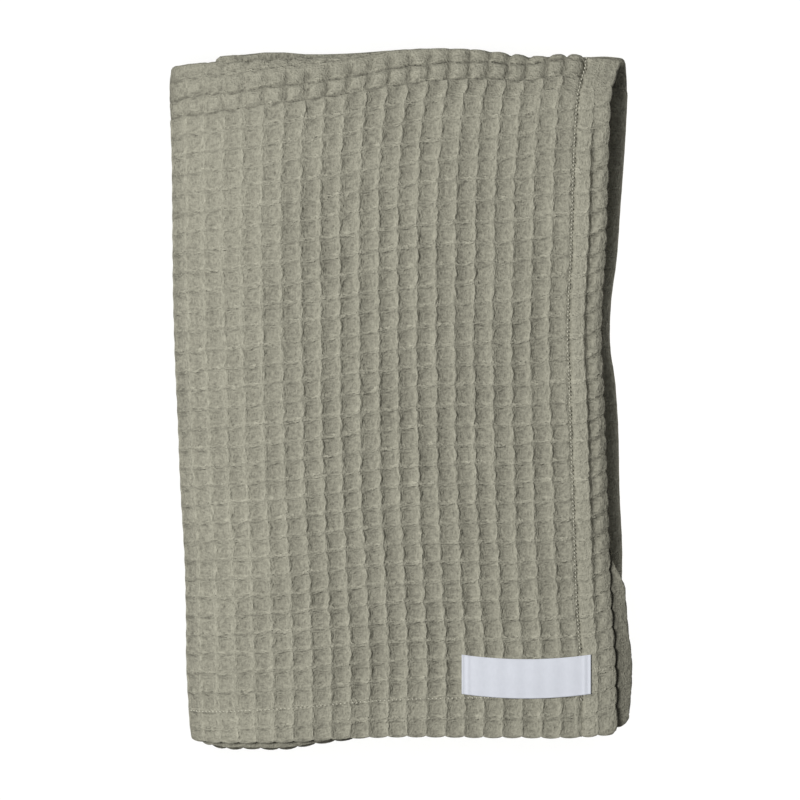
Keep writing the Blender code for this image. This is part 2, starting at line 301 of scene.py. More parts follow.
class Section(NamedTuple):
    """Centre line of the doubled cloth in the X-Z plane, with its normals and the distance along it."""

    x: np.ndarray
    z: np.ndarray
    normal_x: np.ndarray
    normal_z: np.ndarray
    distance: np.ndarray


@dataclass(frozen=True)
class FoldedPacket:
    """The fold: it carries points of the flat cloth to their places in the packet of eight layers."""

    sheet_thickness: float = 0.0020
    layer_pitch: float = 0.0056
    left_edge_x: float = -0.1265
    front_hem_x: float = 0.1135
    right_fold_x: float = 0.1200
    inner_hem_x: float = 0.1110
    shoulder_start_x: float = -0.0550
    shoulder_power: float = 1.8
    widest_z: float = 0.0125
    inner_fold_x: float = -0.0960
    top_shares: Pair = (0.20, 0.30)
    upper_shares: Pair = (0.55, 0.75)
    centre_x: float = -0.0007
    centre_y: float = 0.0013
    pressed_length: float = 0.030
    pressed_share: float = 0.36
    pressed_share_left: float = 0.20
    droop: float = 0.0030
    droop_reach: float = 0.0120
    droop_start_y: float = -0.0950
    droop_full_y: float = -0.1200
    cloth_width: float = 0.9271
    cloth_length: float = 0.7629
    curve_steps: int = 160
    slope_step: float = 0.0005

    @property
    def half_pitch(self) -> float:
        """Half the distance between two layers."""
        return self.layer_pitch / 2

    @property
    def bottom_z(self) -> float:
        """Height of the bottom panel's mid-surface."""
        return self.sheet_thickness / 2 + self.half_pitch

    @property
    def top_z(self) -> float:
        """Height of the top panel's mid-surface, six layers up."""
        return self.bottom_z + 6 * self.layer_pitch

    @property
    def shoulder_edge_x(self) -> float:
        """Outermost point of the centre line over the left shoulder."""
        return self.left_edge_x + self.half_pitch + self.sheet_thickness / 2

    @property
    def layer_length(self) -> float:
        """Length of one layer from its hem to the start of the roll."""
        return (self.cloth_length - math.pi * self.half_pitch) / 2

    def left_squeeze(self, x: np.ndarray) -> np.ndarray:
        """Share of its height that a panel inside keeps under the shoulder: a superellipse's drop.

        Args:
            x: places across the packet.

        Returns:
            The share at each place, 1 where the top panel is level.
        """
        reach = self.shoulder_start_x - self.shoulder_edge_x
        part = np.clip((self.shoulder_start_x - x) / reach, 0.0, 1.0)
        drop = (1 - part**self.shoulder_power) ** (1 / self.shoulder_power)
        height = self.widest_z + (self.top_z - self.widest_z) * drop
        return (height - self.bottom_z) / (self.top_z - self.bottom_z)

    def arc(self, centre: Pair, radius: float, start: float, end: float) -> np.ndarray:
        """Points on a circle's arc in the X-Z plane, with angles in degrees from +X towards +Z."""
        angle = np.radians(np.linspace(start, end, self.curve_steps))
        return np.column_stack((centre[0] + radius * np.cos(angle), centre[1] + radius * np.sin(angle)))

    def level_run(self, start_x: float, end_x: float, z: float) -> np.ndarray:
        """Points on a straight stretch at height z, lowered under the left shoulder."""
        x = np.linspace(start_x, end_x, self.curve_steps)
        return np.column_stack((x, self.bottom_z + (z - self.bottom_z) * self.left_squeeze(x)))

    def shoulder(self) -> np.ndarray:
        """Points on the left shoulder: a quarter superellipse from the top panel to the widest point."""
        angle = np.linspace(0, np.pi / 2, self.curve_steps)
        power = 2 / self.shoulder_power
        reach = self.shoulder_start_x - self.shoulder_edge_x
        x = self.shoulder_start_x - reach * np.sin(angle) ** power
        z = self.widest_z + (self.top_z - self.widest_z) * np.cos(angle) ** power
        return np.column_stack((x, z))

    @cached_property
    def folds(self) -> tuple[np.ndarray, ...]:
        """The section's stretches in order."""
        turn_radius = self.widest_z - self.bottom_z
        turn_x = self.shoulder_edge_x + turn_radius
        fold_x = self.right_fold_x - self.layer_pitch - self.half_pitch - self.sheet_thickness / 2
        kept = float(self.left_squeeze(np.array(self.inner_fold_x)))
        lower_z = self.bottom_z + 2 * self.layer_pitch
        inner_z = self.bottom_z + 3 * self.layer_pitch * kept
        upper_z = self.bottom_z + 4 * self.layer_pitch
        return (
            self.level_run(self.front_hem_x, self.shoulder_start_x, self.top_z),
            self.shoulder(),
            self.arc((turn_x, self.widest_z), turn_radius, 180, 270),
            self.level_run(turn_x, fold_x, self.bottom_z),
            self.arc((fold_x, self.bottom_z + self.layer_pitch), self.layer_pitch, -90, 90),
            self.level_run(fold_x, self.inner_fold_x, lower_z),
            self.arc((self.inner_fold_x, inner_z), self.layer_pitch * kept, 270, 90),
            self.level_run(self.inner_fold_x, self.inner_hem_x, upper_z),
        )

    @cached_property
    def section(self) -> Section:
        """The whole centre line, with unit normals on the side that faces up on the top panel."""
        line = np.concatenate([self.folds[Stretch.TOP]] + [piece[1:] for piece in self.folds[1:]])
        steps = np.linalg.norm(np.diff(line, axis=0), axis=1)
        distance = np.concatenate(([0.0], np.cumsum(steps)))
        tangent = unit(np.gradient(line, axis=0))
        scaled = distance * self.cloth_width / distance[-1]
        return Section(line[:, 0], line[:, 1], tangent[:, 1], -tangent[:, 0], scaled)

    @cached_property
    def fold_ends(self) -> np.ndarray:
        """Distance across at which each stretch of the section ends."""
        counts = np.cumsum([len(piece) - 1 for piece in self.folds])
        return self.section.distance[counts]

    def swell(self, x: np.ndarray, y: np.ndarray) -> np.ndarray:
        """Height of the upper layers' soft swells and hollows: a sum of round bumps.

        Args:
            x: places across the packet.
            y: places along the packet.

        Returns:
            The height at each place.
        """
        total = np.zeros(np.broadcast(x, y).shape)
        for middle_x, middle_y, across, along, rise in SWELLS.rows:
            total += rise * np.exp(-(((x - middle_x) / across) ** 2 + ((y - middle_y) / along) ** 2))
        return total

    def pressed(self, x: np.ndarray, y: np.ndarray, roll_y: np.ndarray) -> np.ndarray:
        """Share of its height that a point keeps near the roll: a parabola over the pressed length.

        Args:
            x: places across the packet.
            y: places along the packet.
            roll_y: where the top panel's roll begins at each place.

        Returns:
            The share at each place.
        """
        left = np.clip((self.shoulder_start_x - x) / (self.shoulder_start_x - self.left_edge_x), 0, 1)
        depth = self.pressed_share + (self.pressed_share_left - self.pressed_share) * left
        near = np.clip(1 - (roll_y - y) / self.pressed_length, 0, 1)
        return 1 - depth * near**2

    def droops(self, across: np.ndarray, y: np.ndarray, side: np.ndarray) -> np.ndarray:
        """Drop of the inner layer's side hem where nothing lies under it: a parabola from its free edge.

        Args:
            across: distances from the front hem.
            y: places along the packet.
            side: 1 on the outer layer and -1 on the inner one.

        Returns:
            The drop at each place.
        """
        free = np.clip(1 - across / self.droop_reach, 0, 1) ** 2
        start = np.clip((self.droop_start_y - y) / (self.droop_start_y - self.droop_full_y), 0, 1)
        return self.droop * free * start * start * (3 - 2 * start) * np.clip(-side, 0, 1)

    def fitted(self, x: np.ndarray, y: np.ndarray, share: np.ndarray, side: np.ndarray) -> np.ndarray:
        """Moves a point sideways to the packet's sides at its place along Y.

        Its share of the way from the left edge to its own panel's right edge stays as it is.

        Args:
            x: place on the reference section.
            y: place along the packet.
            share: place round the section, from 0 to 1.
            side: 1 on the outer layer, -1 on the inner one, between them on the roll.

        Returns:
            The new places across the packet.
        """
        left, hem, under, fold, lean = (SIDES.read(name, y) for name in SIDES.names.split()[1:])
        front = np.where(side > 0, 1 + side, 1 - abs(side)) / 2
        top_edge = under + (hem - under) * front
        inner_edge = hem - (self.front_hem_x - self.inner_hem_x)
        on_top = np.interp(share, self.top_shares, (1, 0))
        on_upper = np.interp(share, self.upper_shares, (0, 1))
        between = 1 - on_top - on_upper
        reference = self.front_hem_x * on_top + self.inner_hem_x * on_upper + self.right_fold_x * between
        right = top_edge * on_top + inner_edge * on_upper + fold * between
        part = (x - self.left_edge_x) / (reference - self.left_edge_x)
        return left + (right - left) * part + lean * 4 * part * (1 - part)

    def place(self, across: np.ndarray, along: np.ndarray) -> np.ndarray:
        """Carries points of the flat cloth to the middle of the folded cloth.

        Across the packet a point lies half a pitch to either side of the section's centre line. Along it, a
        layer runs straight from its hem to the roll, and the roll is a half circle from one layer to the
        other. Heights are then pressed near the roll and raised by the swells.

        Args:
            across: distances from the front hem.
            along: distances from the outer bottom hem, of the same shape.

        Returns:
            Points with a last axis of three.
        """
        section = self.section
        share = across / self.cloth_width
        line_x, line_z, normal_x, normal_z = (
            np.interp(across, section.distance, values) for values in section[:4]
        )
        turned = np.clip((along - self.layer_length) / self.half_pitch, 0, np.pi)
        side = np.cos(turned)
        part = np.clip(np.minimum(along, self.cloth_length - along) / self.layer_length, 0, 1)
        squeeze = np.where(share > 0.5, self.left_squeeze(line_x), 1.0)
        offset = self.half_pitch * squeeze * side
        x = line_x + normal_x * offset
        z = line_z + normal_z * offset
        top_roll_y = ENDS.read("roll", x) - self.half_pitch - self.sheet_thickness / 2
        roll_y = top_roll_y + PANELS.read("roll", share)
        outer_y = ENDS.read("hem", x) - PANELS.read("outer", share)
        inner_y = ENDS.read("under", x) - PANELS.read("inner", share)
        hem_y = np.where(side > 0, outer_y, inner_y)
        y = hem_y + (roll_y - hem_y) * part + self.half_pitch * np.sin(turned)
        fitted = self.fitted(x, y, share, side)
        rise = self.top_z - self.bottom_z
        level = np.clip((z - self.bottom_z) / rise, 0, None)
        height = level * rise * self.pressed(x, y, top_roll_y) + level * self.swell(fitted, y)
        z = np.minimum(z, self.bottom_z) + height - self.droops(across, y, side)
        return np.stack((fitted - self.centre_x, y - self.centre_y, z), axis=-1)

    def axes(self, across: np.ndarray, along: np.ndarray) -> tuple[np.ndarray, np.ndarray, np.ndarray]:
        """Unit vectors of the folded cloth, from the differences between places a step to either side.

        Args:
            across: distances from the front hem.
            along: distances from the outer bottom hem.

        Returns:
            The vectors across the cloth, along it, and out of its front.
        """
        step = self.slope_step
        low_s, high_s = np.clip(across - step, 0, None), np.clip(across + step, None, self.cloth_width)
        low_t, high_t = np.clip(along - step, 0, None), np.clip(along + step, None, self.cloth_length)
        to_side = unit(self.place(high_s, along) - self.place(low_s, along))
        to_roll = unit(self.place(across, high_t) - self.place(across, low_t))
        return to_side, to_roll, unit(np.cross(to_roll, to_side))


class Fineness(Enum):
    """Grid lines inside one cell of the weave, as shares of the cell from the ridge nearer the edge."""

    SHARP_COLUMN = (0.0, 0.09, 0.26, 0.50, 0.72, 0.87, 0.95)
    ROUND_COLUMN = (0.0, 0.12, 0.34, 0.58, 0.80, 0.93)
    FOLD_COLUMN = (0.0, 0.2, 0.4, 0.6, 0.8)
    PLAIN_COLUMN = (0.0, 0.5)
    EDGE_COLUMN = (0.0, 0.06, 0.14, 0.24, 0.36, 0.48, 0.60, 0.71, 0.81, 0.89, 0.95)
    HIDDEN = (0.0,)
    SHARP_ROW = (0.0, 0.08, 0.25, 0.5, 0.75, 0.92)
    HEM_ROW = (0.0, 0.22, 0.5, 0.78)


class Draw(Enum):
    """What a set of random amounts moves: each set has its own number."""

    DEPTH = 1
    ACROSS = 2
    ALONG = 3


@dataclass(frozen=True)
class Lines:
    """Grid lines along one side of the flat cloth.

    cell is the number of the cell that a line lies in, share its place in the cell, place its distance from
    the edge, and kept says whether the plain back of the cloth has that line too.
    """

    cell: np.ndarray
    share: np.ndarray
    place: np.ndarray
    kept: np.ndarray

    @property
    def from_ridge(self) -> np.ndarray:
        """Shares of a cell from its nearer ridge."""
        return np.minimum(self.share, 1 - self.share)

    @property
    def from_edge(self) -> np.ndarray:
        """Distances from the nearer edge of the cloth."""
        return np.minimum(self.place, self.place[-1] - self.place)

    @property
    def counted(self) -> np.ndarray:
        """Places counted in cells, but half a cell in at the cloth's very edges, where no ridge runs."""
        first = np.where(self.cell == 0, (1 - self.share) / 2, 0.0)
        last = np.where(self.cell == self.cell[-1], self.share / 2, 0.0)
        return self.cell + self.share + first - last

    def coarse(self) -> Lines:
        """The lines that the plain back has too."""
        return Lines(*(values[self.kept] for values in vars(self).values()))


@dataclass(frozen=True)
class WaffleWeave:
    """Sizes of the weave: the cells on the flat cloth, its hems and seams, and its relief."""

    column_pitch: float = 0.01055
    columns: int = 82
    hem_columns: tuple[float, ...] = (0.0, 0.0107, 0.0195)
    hem_width: float = 0.0310
    row_pitch: float = 0.01091
    rows: int = 68
    first_row: float = 0.0105
    hem_rows: int = 2
    hem_row_depth: float = 0.75
    hem_row_ridge: float = 0.3
    hem_seam_row: float = 0.0212
    seam_start: float = 0.14
    row_crest: float = 0.24
    row_crest_reach: float = 0.07
    row_swell: float = 0.27
    row_swell_reach: float = 0.36
    scallop: float = 0.0012
    row_sag: float = 0.0008
    row_bow: float = 0.0056
    row_bow_level: float = 0.54
    row_bow_across: Pair = (0.0, 0.12)
    row_bow_start: Pair = (0.19, 0.23)
    row_bow_end: Pair = (0.335, 0.365)
    rise_middle: float = 0.105
    rise_end: Pair = (0.26, 0.45)
    node_puff: float = 0.0004
    puff_level: float = 0.7
    unevenness: float = 0.00022
    depth_spread: float = 0.17
    rolled_end_depth: float = 0.82
    rolled_end: Pair = (0.22, 0.32)
    side_seam_depth: float = 0.0023
    end_seam_depth: float = 0.0002
    seam_reach: float = 0.0009
    roll_reach: float = 0.0218
    roll_start: Pair = (0.93, 1.10)
    roll_base: float = -0.0010
    roll_pillow: float = 0.0023
    roll_powers: Pair = (2.8, 5.0)
    roll_tip: float = 0.0070
    roll_tip_fade: Pair = (0.3, 1.0)
    roll_tip_even: float = 0.85
    roll_even: float = 0.75
    roll_even_gain: float = 1.25
    # Painted shade on the lower side of each row near the roll, and where it fades.
    roll_gradient: float = 0.0010
    roll_gradient_fade: Pair = (1.0, 1.5)
    crossing_reach: float = 0.17
    crossing_ease: float = 0.75
    crossing_depth: float = 0.85
    flat_height: float = 0.0011
    flat_ridge: float = 0.0003
    plain_height: float = 0.0008
    pillow_floor: float = -0.0005
    pillow_height: float = 0.0021
    pillow_root: float = 0.45
    pillow_middle: float = 0.30
    pillow_reach: float = 0.36
    pillow_slant: float = 0.27
    beside_pillow_reach: float = 0.12
    pillow_hollow: float = 0.0017
    hollow_across: Pair = (0.70, 0.22)
    hollow_along: Pair = (0.66, 0.24)
    # How much of the rows' own ridges is left out of the painted shade in the field.
    ridge_shade_evening: float = 0.9
    outer_corner: float = 0.0022
    inner_corner: float = 0.0050
    back_level: float = -0.0014
    back_pillow: float = 0.0009
    back_pillow_reach: float = 0.110
    back_pillow_fade: float = 0.6
    back_hollow: float = 0.8
    seed: int = 11

    @property
    def width(self) -> float:
        """Width of the cloth across all its columns."""
        return 2 * self.hem_width + self.columns * self.column_pitch

    @property
    def length(self) -> float:
        """Length of the cloth along all its rows."""
        return 2 * self.first_row + self.rows * self.row_pitch

    @cached_property
    def column_lines(self) -> np.ndarray:
        """Distances across of the ridges between columns, both hems' edges included."""
        middle = self.hem_width + self.column_pitch * np.arange(self.columns + 1)
        hem = np.array(self.hem_columns)
        return np.concatenate((hem, middle, self.width - hem[::-1]))

    @cached_property
    def row_lines(self) -> np.ndarray:
        """Distances along of the ridges between rows, both hems' edges included."""
        middle = self.first_row + self.row_pitch * np.arange(self.rows + 1)
        return np.concatenate(([0.0], middle, [self.length]))

    def lines(self, ridges: np.ndarray, finenesses: Sequence[Fineness], full: np.ndarray) -> Lines:
        """Divides each cell between two ridges into its grid lines.

        Args:
            ridges: distances of the ridges from the edge.
            finenesses: how finely each cell is divided.
            full: whether the back keeps all the lines of each cell.

        Returns:
            All the lines, with one more on the last ridge.
        """
        counts = np.array([len(fineness.value) for fineness in finenesses])
        cell = np.append(np.repeat(np.arange(len(counts)), counts), len(counts) - 1)
        share = np.concatenate([fineness.value for fineness in finenesses] + [(1.0,)])
        place = ridges[cell] + share * (ridges[cell + 1] - ridges[cell])
        return Lines(cell, share, place, full[cell] | (share == 0) | (share == 1))

    def rounded(self, across: np.ndarray, along: np.ndarray) -> tuple[np.ndarray, np.ndarray]:
        """Rounds the cloth's corners: a square at each is drawn in to a quarter disc by its diagonals.

        The outer layer's corners are rounded less than the inner layer's.

        Args:
            across: distances across.
            along: distances along.

        Returns:
            The new distances across and along.
        """
        corner = np.where(along < self.length / 2, self.outer_corner, self.inner_corner)
        part_across = np.clip(1 - np.minimum(across, self.width - across) / corner, 0, 1)
        part_along = np.clip(1 - np.minimum(along, self.length - along) / corner, 0, 1)
        in_across = corner * part_across * (1 - np.sqrt(1 - part_along**2 / 2))
        in_along = corner * part_along * (1 - np.sqrt(1 - part_across**2 / 2))
        across = across + np.where(across < self.width / 2, in_across, -in_across)
        along = along + np.where(along < self.length / 2, in_along, -in_along)
        return across, along


@dataclass(frozen=True)
class WovenGrid:
    """Heights and shifts of the weave where grid lines cross. In its arrays a row is one line across."""

    weave: WaffleWeave
    columns: Lines
    rows: Lines

    @property
    def u(self) -> np.ndarray:
        """Shares of the way across each cell."""
        return self.columns.share[:, None]

    @property
    def v(self) -> np.ndarray:
        """Shares of the way along each cell."""
        return self.rows.share[None, :]

    @property
    def from_roll(self) -> np.ndarray:
        """Distances along from the middle of the roll, in reaches of the roll."""
        return abs(self.rows.place - self.weave.length / 2)[None, :] / self.weave.roll_reach

    @property
    def to_edge(self) -> np.ndarray:
        """Shares of the way over the front hem's outermost column, from its ridge to its edge."""
        return np.where(self.columns.cell == 0, 1 - self.columns.share, 0.0)[:, None]

    @property
    def crest(self) -> np.ndarray:
        """Height of the ridges above mid-cloth, by the place across."""
        return RELIEFS.read("crest", self.columns.place)[:, None]

    @property
    def depth(self) -> np.ndarray:
        """Depth of the cells before the weave's unevenness, by the place across."""
        return RELIEFS.read("depth", self.columns.place)[:, None]

    def uneven(self, spread: float, draw: Draw) -> np.ndarray:
        """A random amount at each crossing of two ridges, blended evenly over the cells between them.

        Args:
            spread: the amounts' standard deviation.
            draw: which set of amounts it is.

        Returns:
            A grid of amounts.
        """
        weave, left, low = self.weave, self.columns.cell, self.rows.cell
        random = np.random.default_rng(weave.seed + draw.value)
        nodes = random.normal(0, spread, (len(weave.column_lines), len(weave.row_lines)))
        near = nodes[np.ix_(left, low)] * (1 - self.v) + nodes[np.ix_(left, low + 1)] * self.v
        far = nodes[np.ix_(left + 1, low)] * (1 - self.v) + nodes[np.ix_(left + 1, low + 1)] * self.v
        return near * (1 - self.u) + far * self.u

    @cached_property
    def bowls(self) -> tuple[np.ndarray, np.ndarray]:
        """Shares of the depth of a cell across and along: 0 on its ridges and 1 at its lowest place.

        The one across is read from the cell's profile, which falls steeply beside the left ridge and rises
        gently to the right one; beside the crossings it is eased towards the square of a sine. The one along
        is 1 less a narrow bell curve and a wider step at each ridge. The column beside the side hem's seam
        starts a little past the seam.
        """
        weave, from_ridge = self.weave, self.rows.from_ridge
        past_seam = np.clip((self.columns.share - weave.seam_start) / (1 - weave.seam_start), 0, 1)
        beside_seam = self.columns.cell == len(weave.hem_columns) - 1
        share = np.where(beside_seam, past_seam, self.columns.share)
        steep = CELL_PROFILE.read("depth", 1 - share)[:, None]
        eased = weave.crossing_depth * np.sin(np.pi * share)[:, None] ** 2
        ease = weave.crossing_ease * bell(from_ridge, weave.crossing_reach)[None, :]
        crest = weave.row_crest * bell(from_ridge, weave.row_crest_reach)
        swell = weave.row_swell * (1 - smooth_step((0.0, weave.row_swell_reach), from_ridge))
        return steep + (eased - steep) * ease, (1 - crest - swell)[None, :]

    @property
    def seams(self) -> np.ndarray:
        """Depth of the grooves that the hems' seams pull in: a bell curve across each seam."""
        weave = self.weave
        from_side = abs(self.columns.from_edge - weave.hem_columns[-1])
        from_end = abs(self.rows.from_edge - weave.hem_seam_row)
        side_groove = weave.side_seam_depth * bell(from_side, weave.seam_reach)
        end_groove = weave.end_seam_depth * bell(from_end, weave.seam_reach)
        return np.maximum(side_groove[:, None], end_groove[None, :])

    @property
    def hollows(self) -> np.ndarray:
        """Hollows beside the front hem's pillows: bell curves, each high up and far in in its own cell."""
        (column, width), (row, height) = self.weave.hollow_across, self.weave.hollow_along
        place = (self.columns.cell + self.columns.share)[:, None]
        return bell(self.v - row, height) * bell(place - column, width)

    @property
    def pillows(self) -> np.ndarray:
        """Heights of the hem's outermost column: pillows between the creases of its rows.

        Across the column a pillow is a bell curve near the edge, with a narrower hollow between it and the
        ridge of the next column. Between its creases it is a root of a sine.
        """
        weave = self.weave
        plump = HEM_COURSE.read("plump", self.rows.place)[None, :]
        along = np.sin(np.pi * self.v).clip(0, 1) ** weave.pillow_root
        bulge = along * bell(self.u - weave.pillow_middle, weave.pillow_reach)
        pillow = weave.pillow_floor + weave.pillow_height * bulge - weave.pillow_hollow * self.hollows
        ridge = (weave.flat_height - weave.pillow_floor) * bell(1 - self.u, weave.beside_pillow_reach)
        return weave.plain_height + (pillow + ridge - weave.plain_height) * plump

    @property
    def stretched(self) -> np.ndarray:
        """Shares of the height of the pillows that the cells make where they are stretched round the roll.

        Each is the product of two flat-topped humps, 1 less a power of the distance from the cell's middle,
        and is evened out at the roll's tip and where the columns are shallow.
        """
        weave = self.weave
        across, along = weave.roll_powers
        pillow = (1 - abs(2 * self.u - 1) ** across) * (1 - abs(2 * self.v - 1) ** along)
        from_tip = abs(self.rows.place - weave.length / 2)[None, :] / weave.roll_tip
        tip = 1 - smooth_step(weave.roll_tip_fade, from_tip)
        gain = weave.roll_even_gain
        deep = np.clip(gain * (self.depth / RELIEFS.first("depth")) - (gain - 1), 0, 1)
        evened = 1 - (1 - weave.roll_tip_even * tip) * deep
        return pillow + (weave.roll_even - pillow) * evened

    @property
    def tilt(self) -> np.ndarray:
        """Drop of the whole cloth over the front hem's outermost column: straight down to its edge."""
        return HEM_COURSE.read("drop", self.rows.place)[None, :] * self.to_edge

    @cached_property
    def height(self) -> np.ndarray:
        """Height of the cloth's front above its middle.

        In the field it is the ridges' height less the cell's depth, which is the product of the two bowls.
        Round the roll the cells are stretched to pillows. The side hem is flat beside its seam, and a line of
        slanted pillows at its edge. The bottom hem keeps its columns and loses most of its rows.
        """
        weave, cell, crest = self.weave, self.columns.cell[:, None], self.crest
        across, along = self.bowls
        depth = self.depth * (1 + self.uneven(weave.depth_spread, Draw.DEPTH))
        to_roll = smooth_step(weave.rolled_end, self.rows.place)[None, :]
        depth = depth * (1 - (1 - weave.rolled_end_depth) * to_roll)
        last_row = len(weave.row_lines) - 2
        in_hem = ((self.rows.cell < weave.hem_rows) | (self.rows.cell > last_row - weave.hem_rows))[None, :]
        ridge_part = np.where(in_hem, weave.hem_row_ridge, 1.0) * (1 - along)
        depth = np.where(in_hem, weave.hem_row_depth * depth, depth)
        puff = weave.node_puff * (along - weave.puff_level) * (1 - across)
        woven = crest - depth * across * (1 - ridge_part) + puff
        on_roll = 1 - smooth_step(weave.roll_start, self.from_roll)
        rolled = weave.roll_base + weave.roll_pillow * self.stretched * crest / RELIEFS.first("crest")
        woven = woven + (rolled - woven) * on_roll
        scale = crest / RELIEFS.first("crest")
        last = len(weave.column_lines) - 2
        level = scale * (weave.flat_height + weave.flat_ridge * (1 - along))
        at_edge = np.where((cell == 0) | (cell == last), scale * self.pillows, woven)
        height = np.where((cell == 1) | (cell == last - 1), level, at_edge)
        return height - self.seams * scale - self.tilt

    @property
    def tone(self) -> np.ndarray:
        """Height that the cotton's painted shade follows, so that its hollows are painted darker: the
        front's, without the rows' own ridges in the field.

        Near the roll it is lowered towards the lower side of each row, by the square of the share of the row,
        as painted shade on that side.
        """
        weave, cell = self.weave, self.columns.cell[:, None]
        across, along = self.bowls
        in_field = (cell > 1) & (cell < len(weave.column_lines) - 3)
        ridges = weave.ridge_shade_evening * self.depth * across * (1 - along) * (self.from_roll > 1)
        on_roll = 1 - smooth_step(weave.roll_gradient_fade, self.from_roll)
        # Painted shade on the lower side of each row near the roll.
        lower_side = weave.roll_gradient * on_roll * (1 - self.v) ** 2
        return self.height - (ridges + lower_side) * in_field

    @property
    def back(self) -> np.ndarray:
        """Height of the cloth's back: level, but for the pillows of the inner hem that show at the corner.

        They are the square roots of the products of two sines, and fade with the distance from that hem.
        """
        weave = self.weave
        reach = weave.back_pillow_reach
        fade = 1 - smooth_step((weave.back_pillow_fade * reach, reach), weave.length - self.rows.place)
        pillow = np.sqrt(np.clip(np.sin(np.pi * self.u) * np.sin(np.pi * self.v), 0, 1)) - 0.5
        pressed_in = weave.back_hollow * weave.pillow_hollow * self.hollows
        return weave.back_level - weave.back_pillow * pillow * fade[None, :] - pressed_in - self.tilt

    @property
    def shifted(self) -> tuple[np.ndarray, np.ndarray]:
        """Distances across and along of the grid's points, moved by the unevenness of the weave.

        A ridge between columns bulges to the right between its crossings, as the square of a sine, and a
        ridge between rows sags a little. Rows rise to the right and drift along the cloth by their table, and
        bow near the middle. In the front hem's outermost column they slant up to its edge.
        """
        weave, s, t = self.weave, self.columns.place, self.rows.place
        edges = smooth_step((0.0, weave.hem_columns[-1]), self.columns.from_edge)
        ends = smooth_step((0.0, weave.first_row), self.rows.from_edge)
        inside = edges[:, None] * ends[None, :]
        bulge = weave.scallop * np.sin(np.pi * self.v) ** 2 * np.cos(np.pi * self.u) ** 2
        across = s[:, None] + inside * (self.uneven(weave.unevenness, Draw.ACROSS) - bulge)
        sag = weave.row_sag * np.sin(np.pi * self.u) ** 2 * np.cos(np.pi * self.v) ** 2
        slope = ROW_COURSES.read("rise", t)[None, :]
        reach = (weave.rise_middle - s) * (1 - smooth_step(weave.rise_end, s))
        drift = ROW_COURSES.read("drift", t)[None, :]
        slant = weave.pillow_slant * weave.row_pitch * self.to_edge
        bowing = smooth_step(weave.row_bow_start, t) * (1 - smooth_step(weave.row_bow_end, t))
        bow = weave.row_bow * (weave.row_bow_level - smooth_step(weave.row_bow_across, s))
        course = slope * reach[:, None] + drift + slant + bow[:, None] * bowing[None, :]
        jitter = self.uneven(weave.unevenness, Draw.ALONG)
        return weave.rounded(across, t[None, :] + ends[None, :] * (jitter - sag + course))


def set_mesh(name: str, points: np.ndarray, quads: np.ndarray, triangles: np.ndarray) -> bpy.types.Object:
    """Makes a smooth-shaded object from arrays.

    Args:
        name: name of the object and its mesh.
        points: points with a last axis of three.
        quads: corners of the four-sided faces, one row each.
        triangles: corners of the three-sided faces, one row each.

    Returns:
        The object, linked to the scene, at the origin.
    """
    mesh = bpy.data.meshes.new(name)
    flat = points.reshape(-1, 3)
    corners = np.concatenate((quads.ravel(), triangles.ravel())).astype(np.int32)
    counts = np.repeat((4, 3), (len(quads), len(triangles)))
    starts = np.concatenate(([0], np.cumsum(counts)[:-1])).astype(np.int32)
    mesh.vertices.add(len(flat))
    mesh.vertices.foreach_set("co", flat.astype(np.float32).ravel())
    mesh.loops.add(len(corners))
    mesh.loops.foreach_set("vertex_index", corners)
    mesh.polygons.add(len(counts))
    mesh.polygons.foreach_set("loop_start", starts)
    mesh.update(calc_edges=True)
    mesh.validate()
    mesh.shade_smooth()
    item = bpy.data.objects.new(name, mesh)
    bpy.context.scene.collection.objects.link(item)
    return item


def add_uv(item: bpy.types.Object, name: str, places: np.ndarray) -> None:
    """Gives an object a UV map from one place on the flat cloth for each vertex."""
    corners = np.empty(len(item.data.loops), np.int32)
    item.data.loops.foreach_get("vertex_index", corners)
    layer = item.data.uv_layers.new(name=name)
    layer.data.foreach_set("uv", places.reshape(-1, 2)[corners].astype(np.float32).ravel())


def add_attribute(item: bpy.types.Object, name: str, values: np.ndarray) -> None:
    """Gives an object a number for each vertex, which its material reads by name."""
    attribute = item.data.attributes.new(name, "FLOAT", "POINT")
    attribute.data.foreach_set("value", values.astype(np.float32).ravel())


def grid_quads(number: np.ndarray, facing_front: bool) -> np.ndarray:
    """Faces of a grid of points.

    Args:
        number: the grid's point numbers.
        facing_front: whether the faces turn towards the cloth's front.

    Returns:
        Four corners for each face.
    """
    around = (number[:-1, :-1], number[:-1, 1:], number[1:, 1:], number[1:, :-1])
    return np.stack(around if facing_front else around[::-1], axis=-1).reshape(-1, 4)


def zip_edges(fine: np.ndarray, coarse: np.ndarray, places: Sequence[np.ndarray], flip: bool) -> np.ndarray:
    """Joins two rows of points with triangles, each point to the nearest one of the other row.

    Args:
        fine: numbers of the points of the finer row, in order.
        coarse: numbers of the points of the coarser row, in the same order.
        places: where the finer and the coarser points lie along the edge, in rising order.
        flip: whether the triangles are turned over.

    Returns:
        Three corners for each triangle.
    """
    fine_place, coarse_place = places
    middles = (coarse_place[:-1] + coarse_place[1:]) / 2
    near = np.searchsorted(middles, (fine_place[:-1] + fine_place[1:]) / 2)
    switch = np.searchsorted(near, np.arange(1, len(coarse)))
    to_coarse = np.column_stack((fine[:-1], fine[1:], coarse[near]))
    to_fine = np.column_stack((coarse[1:], coarse[:-1], fine[switch]))
    triangles = np.concatenate((to_coarse, to_fine))
    return triangles[:, ::-1] if flip else triangles


